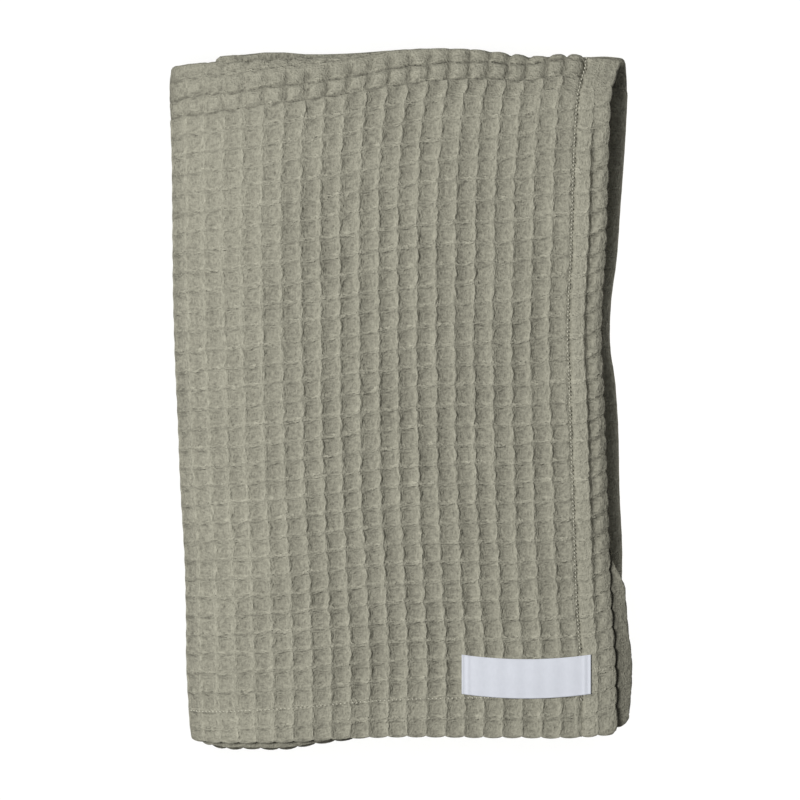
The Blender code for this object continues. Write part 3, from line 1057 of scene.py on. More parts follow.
@dataclass(frozen=True)
class RimLines:
    """Grid lines with the rim's own before and after them.

    number is the cloth's line that each starts from, angle its turn round the rim in radians, and place its
    distance for zipping, which goes on past the cloth's edges.
    """

    number: np.ndarray
    angle: np.ndarray
    place: np.ndarray

    @property
    def swing(self) -> np.ndarray:
        """Share of the cloth's half thickness at which a line stands: the cosine of its angle."""
        return np.abs(np.cos(self.angle))

    @property
    def outward(self) -> np.ndarray:
        """How far a line moves along the cloth as it turns: the sine of its angle, away from the middle."""
        last = self.number > self.number[-1] - 1
        return np.sin(self.angle) * np.where(self.number < 1, -1.0, np.where(last, 1.0, 0.0))


@dataclass(frozen=True)
class Rim:
    """The rounded edge of the cloth: extra grid lines that turn round it by these angles, in degrees."""

    front_angles: tuple[float, ...] = (90.0, 60.0, 30.0)
    back_angles: tuple[float, ...] = (120.0, 150.0)
    spacing: float = 0.0006
    scallop: float = 0.0011
    scallop_root: float = 0.6
    scallop_level: float = 0.75

    def turned(self, lines: Lines, front: bool) -> RimLines:
        """Adds the rim's lines before and after those of one side of the cloth.

        Args:
            lines: the grid lines of the cloth.
            front: whether this is its woven front.

        Returns:
            All the lines, from one edge of the cloth to the other.
        """
        before = np.radians(self.front_angles if front else self.back_angles)
        count = len(lines.place)
        number = np.pad(np.arange(count), len(before), mode="edge")
        angle = np.concatenate((before, np.zeros(count), before[::-1]))
        outer = self.spacing * np.arange(len(before), 0, -1)
        place = np.concatenate((lines.place[0] - outer, lines.place, lines.place[-1] + outer[::-1]))
        return RimLines(number, angle, place)

    def bulge(self, lines: Lines, number: np.ndarray) -> np.ndarray:
        """How far the edge stands out along each cell: a root of a sine about its own middle."""
        hump = np.sin(np.pi * lines.share).clip(0, 1)[number] ** self.scallop_root
        return self.scallop * (hump - self.scallop_level)


@dataclass
class BlanketCloth:
    """The blanket itself: one closed sheet with a finely woven front and a plain back."""

    packet: FoldedPacket
    weave: WaffleWeave
    rim: Rim = field(default_factory=Rim)
    shown_under_rows: float = 0.087
    over_roll_rows: float = 1.2
    right_fold_columns: float = 1.6
    inner_fold_columns: float = 1.4
    left_fold: float = 0.244
    # Painted shade on the front: along the left fold, in blotches at its rows, and on the lower layers' part
    # of the roll.
    fold_shade: float = 0.0009
    fold_shade_middle: float = 0.002
    fold_shade_reach: float = 0.0065
    blotch_shade: float = 0.0010
    blotch_reach: float = 0.022
    blotch_row_reach: float = 0.24
    peek_shade: float = 0.0012
    peek_start: Pair = (0.02, 0.04)
    peek_roll: Pair = (0.8, 1.0)
    # Painted shadow of the front hem on the back, in the gap beside it.
    gap_shade: float = 0.0026
    gap_reach: float = 0.0036
    warp_edge: float = 0.16
    # The back's level in the height that the painted shade follows.
    back_shade_level: float = -0.0007
    back_level: float = 0.5

    def column_grid(self) -> Lines:
        """Grid lines across: sharp on the top panel, fewer where the cloth shows less."""
        ends, ridges, reach = self.packet.fold_ends, self.weave.column_lines, self.weave.column_pitch
        middle = (ridges[:-1] + ridges[1:]) / 2
        near_fold = abs(middle - ends[Stretch.BOTTOM] - reach) < self.right_fold_columns * reach
        near_fold |= abs(middle - ends[Stretch.LOWER] - reach) < self.inner_fold_columns * reach
        bands = (
            (middle < ridges[1], Fineness.EDGE_COLUMN),
            (middle < ends[Stretch.TOP], Fineness.SHARP_COLUMN),
            (middle < ends[Stretch.LEFT_TURN], Fineness.ROUND_COLUMN),
            (near_fold, Fineness.FOLD_COLUMN),
            (middle < ends[Stretch.BOTTOM], Fineness.PLAIN_COLUMN),
        )
        chosen = [
            next((fineness for inside, fineness in bands if inside[number]), Fineness.HIDDEN)
            for number in range(len(middle))
        ]
        turning = (middle > ends[Stretch.SHOULDER] - reach) & (middle < ends[Stretch.LEFT_TURN] + reach)
        in_hem = middle < self.weave.hem_width
        return self.weave.lines(ridges, chosen, near_fold | turning | in_hem)

    def row_grid(self) -> Lines:
        """Grid lines along: sharp on the outer layer and over the roll, fewer on the inner layer."""
        ridges = self.weave.row_lines
        middle = (ridges[:-1] + ridges[1:]) / 2
        roll = self.packet.cloth_length / 2
        over_roll = self.over_roll_rows * self.weave.row_pitch
        shown_under = middle > self.weave.length - self.shown_under_rows
        chosen = [
            Fineness.SHARP_ROW if place < roll + over_roll else Fineness.HEM_ROW if shown else Fineness.HIDDEN
            for place, shown in zip(middle, shown_under)
        ]
        return self.weave.lines(ridges, chosen, (abs(middle - roll) < over_roll) | shown_under)

    def drawn_in(self, places: np.ndarray, inset: np.ndarray, whole: float, reach: float) -> np.ndarray:
        """Draws the cloth's outermost cells in evenly, so that its rim turns by an inset inside its edge.

        Args:
            places: distances from the cloth's first edge.
            inset: how far the edges move in.
            whole: distance between the two edges.
            reach: size of the outermost cells.

        Returns:
            The new distances.
        """
        from_start = inset * np.clip(1 - places / reach, 0, 1)
        return places + from_start - inset * np.clip(1 - (whole - places) / reach, 0, 1)

    def skin(self, grid: WovenGrid, front: bool) -> tuple[np.ndarray, np.ndarray]:
        """Points of one side of the cloth, its rounded rim included.

        A point stands on the cloth's middle by its height along the normal. On the rim the height swings
        round the edge's own middle by the cosine of the angle, and the point moves outwards by the sine.

        Args:
            grid: the weave on that side's lines.
            front: whether this is the woven front.

        Returns:
            The grid's points, and their places on the flat cloth.
        """
        column, row = self.rim.turned(grid.columns, front), self.rim.turned(grid.rows, front)
        woven, plain = grid.height, grid.back
        across, along = grid.shifted
        inset = (woven - plain) / 2
        across = self.drawn_in(across, inset, self.packet.cloth_width, self.weave.hem_columns[1])
        along = self.drawn_in(along, inset, self.packet.cloth_length, self.weave.first_row)
        middle = self.packet.place(across, along)
        to_side, to_roll, normal = self.packet.axes(across, along)
        pick = np.ix_(column.number, row.number)
        half = inset[pick]
        mid = (woven[pick] + plain[pick]) / 2
        swing = column.swing[:, None] * row.swing[None, :]
        height = mid + half * swing if front else mid - half * swing
        out_side = column.outward[:, None] * (half + self.rim.bulge(grid.rows, row.number)[None, :])
        out_end = row.outward[None, :] * (half + self.rim.bulge(grid.columns, column.number)[:, None])
        points = middle[pick] + normal[pick] * height[..., None]
        points = points + to_side[pick] * out_side[..., None] + to_roll[pick] * out_end[..., None]
        places = np.stack((across[pick] + out_side, along[pick] + out_end), axis=-1)
        return points, places

    def front_shade(self, grid: WovenGrid) -> np.ndarray:
        """How much painted shade darkens the front where the cloth is turned away.

        It is a bell curve across the left fold, a wider one that is strong at the ridges between rows only,
        and an even shade on the lower layers' part of the roll.

        Args:
            grid: the weave on the front's lines.

        Returns:
            A grid of amounts, in the unit of the painted shade height.
        """
        from_fold = (self.left_fold - grid.columns.place)[:, None]
        strip = bell(from_fold - self.fold_shade_middle, self.fold_shade_reach)
        blotch = bell(from_fold, self.blotch_reach)
        blotch_rows = bell(grid.rows.from_ridge, self.blotch_row_reach)[None, :]
        lower = smooth_step(self.peek_start, -from_fold)
        on_roll = 1 - smooth_step(self.peek_roll, grid.from_roll)
        shade = self.fold_shade * strip + self.blotch_shade * blotch * blotch_rows
        return shade + self.peek_shade * lower * on_roll

    def back_shade(self, points: np.ndarray) -> np.ndarray:
        """How much painted shadow darkens the back in the gap beside the front hem, where the hem's shadow
        falls: a bell curve across it.

        Args:
            points: the back's points.

        Returns:
            A grid of amounts, in the unit of the painted shade height.
        """
        x, y, z = np.moveaxis(points, -1, 0)
        hem = SIDES.read("hem", y + self.packet.centre_y) - self.packet.centre_x
        return self.gap_shade * (z > self.packet.top_z / 2) * bell(x - hem, self.gap_reach)

    def front_attributes(self, grid: WovenGrid) -> dict[str, np.ndarray]:
        """Numbers that the cotton reads on the front: the height that its painted shade follows, its threads'
        way, and its place counted in cells.

        The threads run along the cloth beside the ridges between columns, and across it beside the others.

        Args:
            grid: the weave on the front's lines.

        Returns:
            For each attribute, its values at the points of the front, rim included.
        """
        away = abs(grid.u - 0.5) - abs(grid.v - 0.5)
        level = np.zeros(away.shape)
        # The front's painted shade height: its height, less the painted shade at the left fold and on the
        # roll.
        values = {
            "tone": grid.tone - self.front_shade(grid),
            "warp_share": smooth_step((-self.warp_edge, self.warp_edge), away),
            "column_count": level + grid.columns.counted[:, None],
            "row_count": level + grid.rows.counted[None, :],
        }
        pick = np.ix_(self.rim.turned(grid.columns, True).number, self.rim.turned(grid.rows, True).number)
        return {name: value[pick].ravel() for name, value in values.items()}

    def build(self) -> bpy.types.Object:
        """Makes the closed sheet: front and back grids, zipped together round the rim."""
        grid = WovenGrid(self.weave, self.column_grid(), self.row_grid())
        back_grid = WovenGrid(self.weave, grid.columns.coarse(), grid.rows.coarse())
        front, front_places = self.skin(grid, True)
        back, back_places = self.skin(back_grid, False)
        fine = np.arange(front.size // 3).reshape(front.shape[:2])
        coarse = fine.size + np.arange(back.size // 3).reshape(back.shape[:2])
        along = [self.rim.turned(grid.rows, True).place, self.rim.turned(back_grid.rows, False).place]
        across = [self.rim.turned(grid.columns, True).place, self.rim.turned(back_grid.columns, False).place]
        triangles = np.concatenate(
            (
                zip_edges(fine[0], coarse[0], along, True),
                zip_edges(fine[-1], coarse[-1], along, False),
                zip_edges(fine[:, 0], coarse[:, 0], across, False),
                zip_edges(fine[:, -1], coarse[:, -1], across, True),
            )
        )
        points = np.concatenate((front.reshape(-1, 3), back.reshape(-1, 3)))
        quads = np.concatenate((grid_quads(fine, True), grid_quads(coarse, False)))
        item = set_mesh("waffle_blanket", points, quads, triangles)
        add_uv(item, "flat_cloth", np.concatenate((front_places.reshape(-1, 2), back_places.reshape(-1, 2))))
        # The back's painted shade: its own level, less the painted shadow of the front hem in the gap.
        back_shade_level = self.back_shade_level - self.back_shade(back).ravel()
        for name, values in self.front_attributes(grid).items():
            plain = back_shade_level if name == "tone" else np.full(coarse.size, self.back_level)
            add_attribute(item, name, np.concatenate((values, plain)))
        return item


@dataclass
class HemStitching:
    """Rows of lockstitch along the hems: short plump stitches of thread lying in the seam's groove."""

    packet: FoldedPacket
    weave: WaffleWeave
    pitch: float = 0.0022
    length: float = 0.0014
    radius: float = 0.00040
    lift: float = 0.00040
    arch: float = 0.0002
    slant: float = 0.38
    slant_spread: float = 0.12
    rings: int = 4
    sides: int = 5

    def seam_places(self) -> tuple[np.ndarray, np.ndarray, np.ndarray]:
        """Middles of all the stitches on the flat cloth, and whether a stitch runs along the cloth."""
        side, end = self.weave.hem_columns[-1], self.weave.hem_seam_row
        down = np.arange(end, self.weave.length - end, self.pitch)
        sideways = np.arange(side, self.weave.width - side, self.pitch)
        across = np.concatenate((np.full(len(down), side), sideways))
        along = np.concatenate((down, np.full(len(sideways), end)))
        return across, along, np.repeat((True, False), (len(down), len(sideways)))

    def tube_faces(self) -> tuple[np.ndarray, np.ndarray]:
        """Four-sided and three-sided faces of one stitch: its rings, and a fan at each end."""
        around = 1 + np.arange(self.rings * self.sides).reshape(self.rings, self.sides)
        after = np.roll(around, -1, axis=1)
        quads = np.stack((around[:-1], after[:-1], after[1:], around[1:]), axis=-1).reshape(-1, 4)
        start = np.stack((np.zeros(self.sides, int), after[0], around[0]), axis=-1)
        end = np.stack((np.full(self.sides, around.size + 1), around[-1], after[-1]), axis=-1)
        return quads, np.concatenate((start, end))

    def build(self) -> bpy.types.Object:
        """Makes every stitch as a tube whose radius is the root of a parabola, closed at its ends."""
        across, along, runs_along = self.seam_places()
        random = np.random.default_rng(self.weave.seed)
        slant = random.normal(self.slant, self.slant_spread, len(across))[:, None]
        step = np.linspace(-0.5, 0.5, self.rings + 2)[None, :]
        lengthways = step * self.length
        down = runs_along[:, None]
        s = across[:, None] + np.where(down, lengthways * slant, lengthways)
        t = along[:, None] + np.where(down, lengthways, lengthways * slant)
        t = t + np.where(down, 0.0, ROW_COURSES.read("rise", t) * (self.weave.rise_middle - s))
        middle = self.packet.place(s, t)
        to_side, to_roll, normal = self.packet.axes(s, t)
        beside = np.cross(normal, unit(np.where(down[..., None], to_roll, to_side)))
        crest = RELIEFS.read("crest", s) / RELIEFS.first("crest")
        plump = np.sqrt(np.clip(1 - (2 * step) ** 2, 0, 1))
        centre = middle + normal * (crest * (self.lift + self.arch * plump))[..., None]
        angle = np.linspace(0, 2 * np.pi, self.sides, endpoint=False)
        radius = self.radius * plump[:, 1:-1, None]
        rings = centre[:, 1:-1, None, :] + beside[:, 1:-1, None, :] * (radius * np.cos(angle))[..., None]
        rings = rings + normal[:, 1:-1, None, :] * (radius * np.sin(angle))[..., None]
        points = np.concatenate((centre[:, :1], rings.reshape(len(across), -1, 3), centre[:, -1:]), axis=1)
        first = points.shape[1] * np.arange(len(across))[:, None, None]
        quads, triangles = (faces + first for faces in self.tube_faces())
        return set_mesh("hem_stitches", points, quads.reshape(-1, 4), triangles.reshape(-1, 3))


@dataclass
class WovenLabel:
    """The plain woven label near the corner: a thin ribbon whose ends are turned under and sewn down."""

    packet: FoldedPacket
    left_x: float = 0.0340
    right_x: float = 0.1052
    top_y: float = -0.1403
    bottom_y: float = -0.1620
    sag: float = 0.0025
    thickness: float = 0.0005
    height: float = 0.00165
    dome: float = 0.0004
    ripple: float = 0.00008
    ripple_pitch: float = 0.0104
    wave: float = 0.00006
    wave_pitches: Pair = (0.05, 0.0109)
    turned_under: float = 0.0042
    turn_softness: float = 0.0003
    doubled_share: float = 0.8
    selvedge_share: float = 0.25
    selvedge_reach: float = 0.035
    columns: int = 120
    rows: int = 40
    seam_inset: float = 0.0016
    seam_reach: float = 0.0012
    seam_depth: float = 0.00035

    def from_end(self, x: np.ndarray) -> np.ndarray:
        """Distances from the nearer end of the ribbon."""
        return np.minimum(x - self.left_x, self.right_x - x)

    def surface(self, u: np.ndarray, v: np.ndarray) -> np.ndarray:
        """Points of the ribbon's middle.

        The long edges sag along a parabola. The ribbon lies on the cloth's ridges and dips by a cosine
        between them, and its ends are pulled down where they are sewn.

        Args:
            u: shares of the way from the left end to the right one.
            v: shares of the way from the lower edge to the upper one.

        Returns:
            Points with a last axis of three.
        """
        x = self.left_x + (self.right_x - self.left_x) * u
        y = self.bottom_y + (self.top_y - self.bottom_y) * v - self.sag * 4 * u * (1 - u)
        top = self.packet.top_z + self.packet.half_pitch + self.packet.swell(x, y)
        wave_x, wave_y = self.wave_pitches
        ripple = self.ripple * np.cos(2 * np.pi * (x - self.right_x) / self.ripple_pitch)
        ripple = ripple + self.wave * np.sin(2 * np.pi * (y / wave_y + x / wave_x))
        sewn = bell(self.from_end(x) - self.seam_inset, self.seam_reach)
        dome = self.dome * np.sin(np.pi * np.clip(u, 0, 1)) * np.sin(np.pi * np.clip(v, 0, 1))
        z = top + self.height + ripple + dome - self.seam_depth * sewn
        return np.stack((x - self.packet.centre_x, y - self.packet.centre_y, z), axis=-1)

    def build(self) -> bpy.types.Object:
        """Makes the ribbon as a closed sheet: its outline goes round the top, the edges and the underside."""
        u, v = np.meshgrid(np.linspace(0, 1, self.columns), np.linspace(0, 1, self.rows), indexing="ij")
        middle = self.surface(u, v)
        from_end = self.from_end(middle[..., 0] + self.packet.centre_x)
        turn = (self.turned_under - self.turn_softness, self.turned_under + self.turn_softness)
        doubled = 1 - smooth_step(turn, from_end)
        selvedge = bell(np.minimum(v, 1 - v), self.selvedge_reach)
        half = self.thickness / 2 * (1 + self.doubled_share * doubled + self.selvedge_share * selvedge)
        up = half[..., None] * np.array((0.0, 0.0, 1.0))
        count = u.size
        number = np.arange(count).reshape(u.shape)
        outline = np.concatenate((number[:-1, 0], number[-1, :-1], number[:0:-1, -1], number[0, :0:-1]))
        after = np.roll(outline, -1)
        wall = np.column_stack((outline, after, after + count, outline + count))
        quads = np.concatenate((grid_quads(number, False), grid_quads(number + count, True), wall[:, ::-1]))
        points = np.concatenate(((middle + up).reshape(-1, 3), (middle - up).reshape(-1, 3)))
        item = set_mesh("label_ribbon", points, quads, np.empty((0, 3), int))
        places = np.stack((u, v), axis=-1).reshape(-1, 2)
        add_uv(item, "flat_label", np.concatenate((places, places)))
        return item


class Detail(Enum):
    """How many finer layers a noise has."""

    SOFT = 1.0
    FINE = 2.0
    FINER = 3.0


Socket = bpy.types.NodeSocket
Inputs = dict[str | int, object]
Colour = tuple[float, float, float, float]


class Tree:
    """A short way to write a material's nodes."""

    noise_roughness: float = 0.6

    def __init__(self, name: str) -> None:
        """Starts a material with a Principled shader."""
        self.material = bpy.data.materials.new(name)
        self.material.use_nodes = True
        self.nodes = self.material.node_tree.nodes
        self.links = self.material.node_tree.links
        self.shader = self.nodes["Principled BSDF"]

    def feed(self, name: str | int, value: object, node: bpy.types.Node | None = None) -> None:
        """Sets an input of a node, or of the shader, to a value or to the socket that feeds it."""
        socket = (node or self.shader).inputs[name]
        if isinstance(value, Socket):
            self.links.new(value, socket)
        else:
            socket.default_value = value

    def add(self, kind: str, inputs: Inputs | None = None, **settings: object) -> bpy.types.Node:
        """Adds a node.

        Args:
            kind: the node's type.
            inputs: for each input, a value or the socket that feeds it.
            settings: the node's own settings.

        Returns:
            The new node.
        """
        node = self.nodes.new(kind)
        for key, value in settings.items():
            setattr(node, key, value)
        for key, value in (inputs or {}).items():
            self.feed(key, value, node)
        return node

    def work(self, operation: str, first: object, second: object = 0.0) -> Socket:
        """A simple operation on one or two numbers or sockets."""
        return self.add("ShaderNodeMath", {0: first, 1: second}, operation=operation).outputs[0]

    def plus(self, first: object, second: object) -> Socket:
        """Sum of two numbers."""
        return self.work("ADD", first, second)

    def times(self, first: object, second: object) -> Socket:
        """Product of two numbers."""
        return self.work("MULTIPLY", first, second)

    def less(self, first: object, second: object) -> Socket:
        """First number less the second."""
        return self.work("SUBTRACT", first, second)

    def clamped(self, value: Socket) -> Socket:
        """A number kept between 0 and 1."""
        return self.add("ShaderNodeClamp", {0: value}).outputs[0]

    def noise(self, source: Socket, scale: float, detail: Detail = Detail.FINE) -> Socket:
        """Noise, about 0.5 on average."""
        size = {"Scale": scale, "Detail": detail.value, "Roughness": self.noise_roughness}
        return self.add("ShaderNodeTexNoise", {"Vector": source} | size).outputs["Fac"]

    def contrast(self, value: Socket, gain: float) -> Socket:
        """Moves a number away from a half by a gain."""
        return self.plus(self.times(self.less(value, 0.5), gain), 0.5)

    def ridges(self, count: Socket, reach: float) -> Socket:
        """Bell curves at the whole numbers of a count of cells."""
        from_middle = self.work("ABSOLUTE", self.less(self.work("FRACT", count), 0.5))
        away = self.work("DIVIDE", self.less(0.5, from_middle), reach)
        return self.work("POWER", math.exp(-1.0), self.times(away, away))

    def stretched(self, source: Socket, stretch: tuple[float, float, float]) -> Socket:
        """Places multiplied by a stretch on each axis."""
        return self.add("ShaderNodeVectorMath", {0: source, 1: stretch}, operation="MULTIPLY").outputs[0]

    def blend(self, share: object, first: object, second: object) -> Socket:
        """A colour between two others."""
        return self.add("ShaderNodeMix", {0: share, 6: first, 7: second}, data_type="RGBA").outputs[2]

    def bump(self, height: Socket, distance: float, strength: float, normal: Socket | None = None) -> Socket:
        """A bump of the given height in metres, on top of another one if there is one."""
        inputs = {"Height": height, "Distance": distance, "Strength": strength}
        if normal is not None:
            inputs["Normal"] = normal
        return self.add("ShaderNodeBump", inputs).outputs["Normal"]

    def around(self) -> Socket:
        """Places in the object's own space."""
        return self.add("ShaderNodeTexCoord").outputs["Object"]


@dataclass(frozen=True)
class WaffleCotton:
    """Greyed olive cotton: soft yarns along the ridges, a slight fuzz, and a little random change of colour,
    with painted shade in its hollows and creases and a painted highlight on its crests.
    """

    light: Colour = (0.480, 0.466, 0.372, 1.0)
    dark: Colour = (0.140, 0.135, 0.107, 1.0)
    roughness: float = 0.95
    specular: float = 0.1
    streak_scale: float = 640.0
    streak_stretch: float = 0.40
    streak_gain: float = 3.4
    streak_depth: float = 0.00042
    streak_tone: float = 0.30
    fuzz_scale: float = 900.0
    fuzz_gain: float = 3.0
    fuzz_depth: float = 0.00032
    fuzz_tone: float = 0.18
    bump_strength: float = 0.8
    patch_scale: float = 38.0
    patch_tone: float = 0.20
    crest_reach: float = 0.055
    crest_depth: float = 0.00035
    crest_wander: float = 0.30
    # Painted highlight on the crests of yarn.
    crest_highlight: float = 0.30
    column_crest: float = 0.45
    wander_scale: float = 420.0
    yarn_gap: float = 0.09
    yarn_wander: float = -1.3
    broken_scale: float = 160.0
    broken_gain: float = 4.0
    broken_share: float = 0.8
    whole_share: float = 0.2
    crease_wander: float = 0.6
    crease_reach: float = 0.085
    # Painted shade along the creases between rows.
    crease_shade: float = 0.14
    # How strongly the colour follows the painted shade height: darker in the hollows, lighter on the ridges.
    height_gain: float = 120.0

    def crests(self, tree: Tree, around: Socket, row: Socket, column: Socket, wander: Socket) -> Socket:
        """Thin crests of yarn: two along each ridge between rows, and a weaker one between columns.

        Args:
            tree: the material's nodes.
            around: places in the object's own space.
            row: place along, counted in cells.
            column: place across, counted in cells.
            wander: how far a crest strays from its ridge, in cells.

        Returns:
            The height of the crests, from 0 to 1.
        """
        beside = tree.less(tree.times(wander, self.yarn_wander), self.yarn_gap)
        first_yarn = tree.ridges(tree.plus(row, wander), self.crest_reach)
        second_yarn = tree.ridges(tree.plus(row, beside), self.crest_reach)
        row_crest = tree.work("MAXIMUM", first_yarn, second_yarn)
        column_crest = tree.ridges(tree.plus(column, wander), self.crest_reach)
        crests = tree.work("MAXIMUM", row_crest, tree.times(column_crest, self.column_crest))
        gaps = tree.noise(around, self.broken_scale, Detail.SOFT)
        broken = tree.clamped(tree.contrast(gaps, self.broken_gain))
        return tree.times(crests, tree.plus(tree.times(broken, self.broken_share), self.whole_share))

    def make(self) -> bpy.types.Material:
        """Builds the material on the cloth's own flat places, with its yarns along or across by the weave."""
        tree = Tree("waffle_cotton")
        flat = tree.add("ShaderNodeUVMap", uv_map="flat_cloth").outputs["UV"]
        around = tree.around()
        warp, high, row, column = (
            tree.add("ShaderNodeAttribute", attribute_name=name).outputs["Fac"]
            for name in ("warp_share", "tone", "row_count", "column_count")
        )
        down = tree.noise(tree.stretched(flat, (1.0, self.streak_stretch, 1.0)), self.streak_scale)
        sideways = tree.noise(tree.stretched(flat, (self.streak_stretch, 1.0, 1.0)), self.streak_scale)
        threads = tree.add("ShaderNodeMix", {0: warp, 2: sideways, 3: down}).outputs[0]
        yarns = tree.contrast(threads, self.streak_gain)
        fuzz = tree.contrast(tree.noise(around, self.fuzz_scale), self.fuzz_gain)
        patch = tree.noise(around, self.patch_scale)
        wander = tree.less(tree.noise(around, self.wander_scale, Detail.SOFT), 0.5)
        wander = tree.times(wander, self.crest_wander)
        crests = self.crests(tree, around, row, column, wander)
        crease = tree.ridges(tree.plus(row, tree.times(wander, self.crease_wander)), self.crease_reach)
        fine = tree.plus(tree.times(yarns, self.streak_tone), tree.times(fuzz, self.fuzz_tone))
        mixed = tree.plus(fine, tree.times(patch, self.patch_tone))
        # Painted light and shade: the colour is lighter where the cloth stands higher and darker in its
        # hollows, with a painted highlight on the crests of yarn and painted shade along the creases between
        # rows.
        raised = tree.plus(tree.times(high, self.height_gain), tree.times(crests, self.crest_highlight))
        raised = tree.less(raised, tree.times(crease, self.crease_shade))
        tree.feed("Base Color", tree.blend(tree.clamped(tree.plus(mixed, raised)), self.dark, self.light))
        tree.feed("Roughness", self.roughness)
        tree.feed("Specular IOR Level", self.specular)
        folded = tree.bump(crests, self.crest_depth, 1.0)
        coarse = tree.bump(yarns, self.streak_depth, self.bump_strength, folded)
        tree.feed("Normal", tree.bump(fuzz, self.fuzz_depth, self.bump_strength, coarse))
        return tree.material


@dataclass(frozen=True)
class SewingThread:
    """Cotton thread in the cloth's own colour, twisted."""

    light: Colour = (0.720, 0.700, 0.575, 1.0)
    dark: Colour = (0.200, 0.193, 0.153, 1.0)
    roughness: float = 0.85
    twist_scale: float = 1900.0
    twist_depth: float = 0.0001
    bump_strength: float = 0.6

    def make(self) -> bpy.types.Material:
        """Builds the material: fine noise for the twist and the shade between fibres."""
        tree = Tree("sewing_thread")
        twist = tree.noise(tree.around(), self.twist_scale)
        tree.feed("Base Color", tree.blend(twist, self.dark, self.light))
        tree.feed("Roughness", self.roughness)
        tree.feed("Normal", tree.bump(twist, self.twist_depth, self.bump_strength))
        return tree.material


@dataclass(frozen=True)
class LabelSatin:
    """Cool white woven ribbon with fine ribs."""

    white: Colour = (0.605, 0.625, 0.680, 1.0)
    shade: Colour = (0.550, 0.570, 0.620, 1.0)
    roughness: float = 0.55
    sheen: float = 0.1
    rib_count: float = 62.0
    pick_count: float = 190.0
    cloud_scale: float = 420.0
    weave_depth: float = 0.00005
    bump_strength: float = 0.6

    def make(self) -> bpy.types.Material:
        """Builds the material on the label's own flat places."""
        tree = Tree("label_satin")
        flat = tree.add("ShaderNodeUVMap", uv_map="flat_label").outputs["UV"]
        around = tree.around()
        parts = tree.add("ShaderNodeSeparateXYZ", {0: flat})
        ribs = tree.work("SINE", tree.times(parts.outputs[1], 2 * math.pi * self.rib_count))
        picks = tree.work("SINE", tree.times(parts.outputs[0], 2 * math.pi * self.pick_count))
        woven = tree.times(ribs, picks)
        cloud = tree.noise(around, self.cloud_scale, Detail.FINER)
        tree.feed("Base Color", tree.blend(cloud, self.shade, self.white))
        tree.feed("Roughness", self.roughness)
        tree.feed("Sheen Weight", self.sheen)
        tree.feed("Normal", tree.bump(tree.plus(woven, cloud), self.weave_depth, self.bump_strength))
        return tree.material


@dataclass(frozen=True)
class PaleFloor:
    """A plain pale floor of matt paper."""

    colour: Colour = (0.90, 0.90, 0.895, 1.0)
    grain: Colour = (0.88, 0.88, 0.875, 1.0)
    grain_scale: float = 60.0
    roughness: float = 0.9

    def make(self) -> bpy.types.Material:
        """Builds the material with a barely visible grain."""
        tree = Tree("floor_paper")
        fibres = tree.noise(tree.around(), self.grain_scale)
        tree.feed("Base Color", tree.blend(fibres, self.grain, self.colour))
        tree.feed("Roughness", self.roughness)
        return tree.material


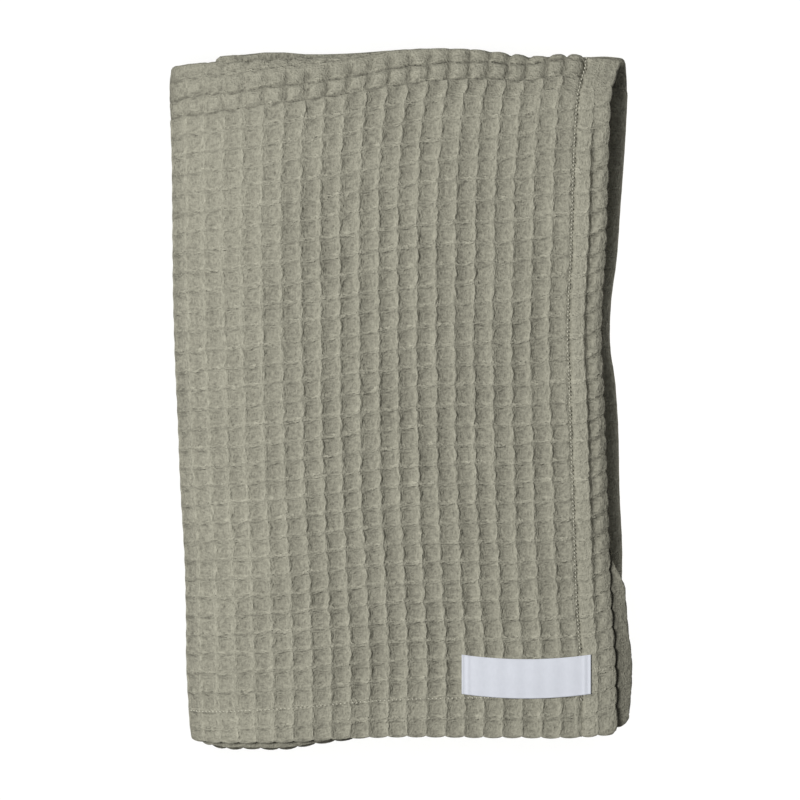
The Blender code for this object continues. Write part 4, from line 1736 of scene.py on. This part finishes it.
@dataclass
class Studio:
    """Floor, lights and camera: a straight look down, with a soft light from high up on the left."""

    camera_height: float = 1.4
    camera_x: float = 0.0007
    camera_y: float = -0.0013
    frame_width: float = 0.4408
    top_z: float = 0.042
    sensor: float = 36.0
    light_distance: float = 2.2
    key_place: Pair = (164.0, 62.0)
    key_size: float = 0.6
    key_power: float = 59.5
    wash_place: Pair = (0.0, 90.0)
    wash_power: float = 80.0
    wash_size: float = 3.0
    sky: float = 0.14
    floor_size: float = 8.0

    def build_floor(self) -> bpy.types.Object:
        """Makes the floor: one level face."""
        half = self.floor_size / 2
        corners = half * np.array(((-1, -1, 0), (1, -1, 0), (1, 1, 0), (-1, 1, 0)), float)
        floor = set_mesh("floor", corners, np.array([[0, 1, 2, 3]]), np.empty((0, 3), int))
        floor.data.materials.append(PaleFloor().make())
        return floor

    def add_light(self, name: str, place: Pair, power: float, size: float) -> bpy.types.Object:
        """Adds a square area light that faces the middle of the packet.

        Args:
            name: the light's name.
            place: degrees from +X towards +Y, and degrees above the floor.
            power: watts.
            size: side of the square.

        Returns:
            The light.
        """
        lamp = bpy.data.lights.new(name, "AREA")
        lamp.energy = power
        lamp.size = size
        item = bpy.data.objects.new(name, lamp)
        turn, lift = (math.radians(angle) for angle in place)
        item.location = (
            self.light_distance * math.cos(turn) * math.cos(lift),
            self.light_distance * math.sin(turn) * math.cos(lift),
            self.light_distance * math.sin(lift),
        )
        item.rotation_euler = item.location.to_track_quat("Z", "Y").to_euler()
        bpy.context.scene.collection.objects.link(item)
        return item

    def build_lights(self, floor: bpy.types.Object, packet: Sequence[bpy.types.Object]) -> None:
        """Adds a key light on the packet, a wash from above on the floor, and an even dim sky.

        The packet doesn't block the wash, so that the floor is evenly bright, as on a light table.

        Args:
            floor: the floor, which only the wash lights.
            packet: the pieces that only the key lights.
        """
        key = self.add_light("key", self.key_place, self.key_power, self.key_size)
        wash = self.add_light("wash", self.wash_place, self.wash_power, self.wash_size)
        for light, lit in ((key, packet), (wash, (floor,))):
            receivers = bpy.data.collections.new(light.name + "_receivers")
            for item in lit:
                receivers.objects.link(item)
            light.light_linking.receiver_collection = receivers
        wash.light_linking.blocker_collection = wash.light_linking.receiver_collection
        world = bpy.data.worlds.new("studio")
        world.use_nodes = True
        world.node_tree.nodes["Background"].inputs[0].default_value = (1.0, 1.0, 1.0, 1.0)
        world.node_tree.nodes["Background"].inputs[1].default_value = self.sky
        bpy.context.scene.world = world
        bpy.context.scene.view_settings.view_transform = "Standard"

    def build_camera(self) -> None:
        """Adds the camera, whose lens takes in the photograph's width at the packet's top."""
        data = bpy.data.cameras.new("camera")
        data.sensor_width = self.sensor
        data.lens = self.sensor * (self.camera_height - self.top_z) / self.frame_width
        camera = bpy.data.objects.new("camera", data)
        camera.location = (self.camera_x, self.camera_y, self.camera_height)
        bpy.context.scene.collection.objects.link(camera)
        bpy.context.scene.camera = camera


def dress(item: bpy.types.Object, material: bpy.types.Material) -> bpy.types.Object:
    """Gives a finished piece its material and slot, and lets it ride on the packet.

    Args:
        item: the piece.
        material: its material.

    Returns:
        The same piece.
    """
    item.data.materials.append(material)
    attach(item, BODY)
    LOG.info("%s: %d faces", item.name, len(item.data.polygons))
    return item


def clear_scene() -> None:
    """Removes the objects of the start-up scene."""
    for item in list(bpy.data.objects):
        bpy.data.objects.remove(item, do_unlink=True)


def main() -> None:
    """Builds the blanket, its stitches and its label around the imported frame, and lights them."""
    logging.basicConfig(level=logging.INFO, format="%(message)s")
    clear_scene()
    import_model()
    packet = FoldedPacket()
    weave = WaffleWeave()
    thread = SewingThread().make()

    blanket = dress(BlanketCloth(packet, weave).build(), WaffleCotton().make())
    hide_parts("blanket_cloth")
    stitches = dress(HemStitching(packet, weave).build(), thread)
    label = dress(WovenLabel(packet).build(), LabelSatin().make())
    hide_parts("woven_label")

    studio = Studio()
    floor = studio.build_floor()
    studio.build_lights(floor, (blanket, stitches, label))
    studio.build_camera()


if __name__ == "__main__":
    main()
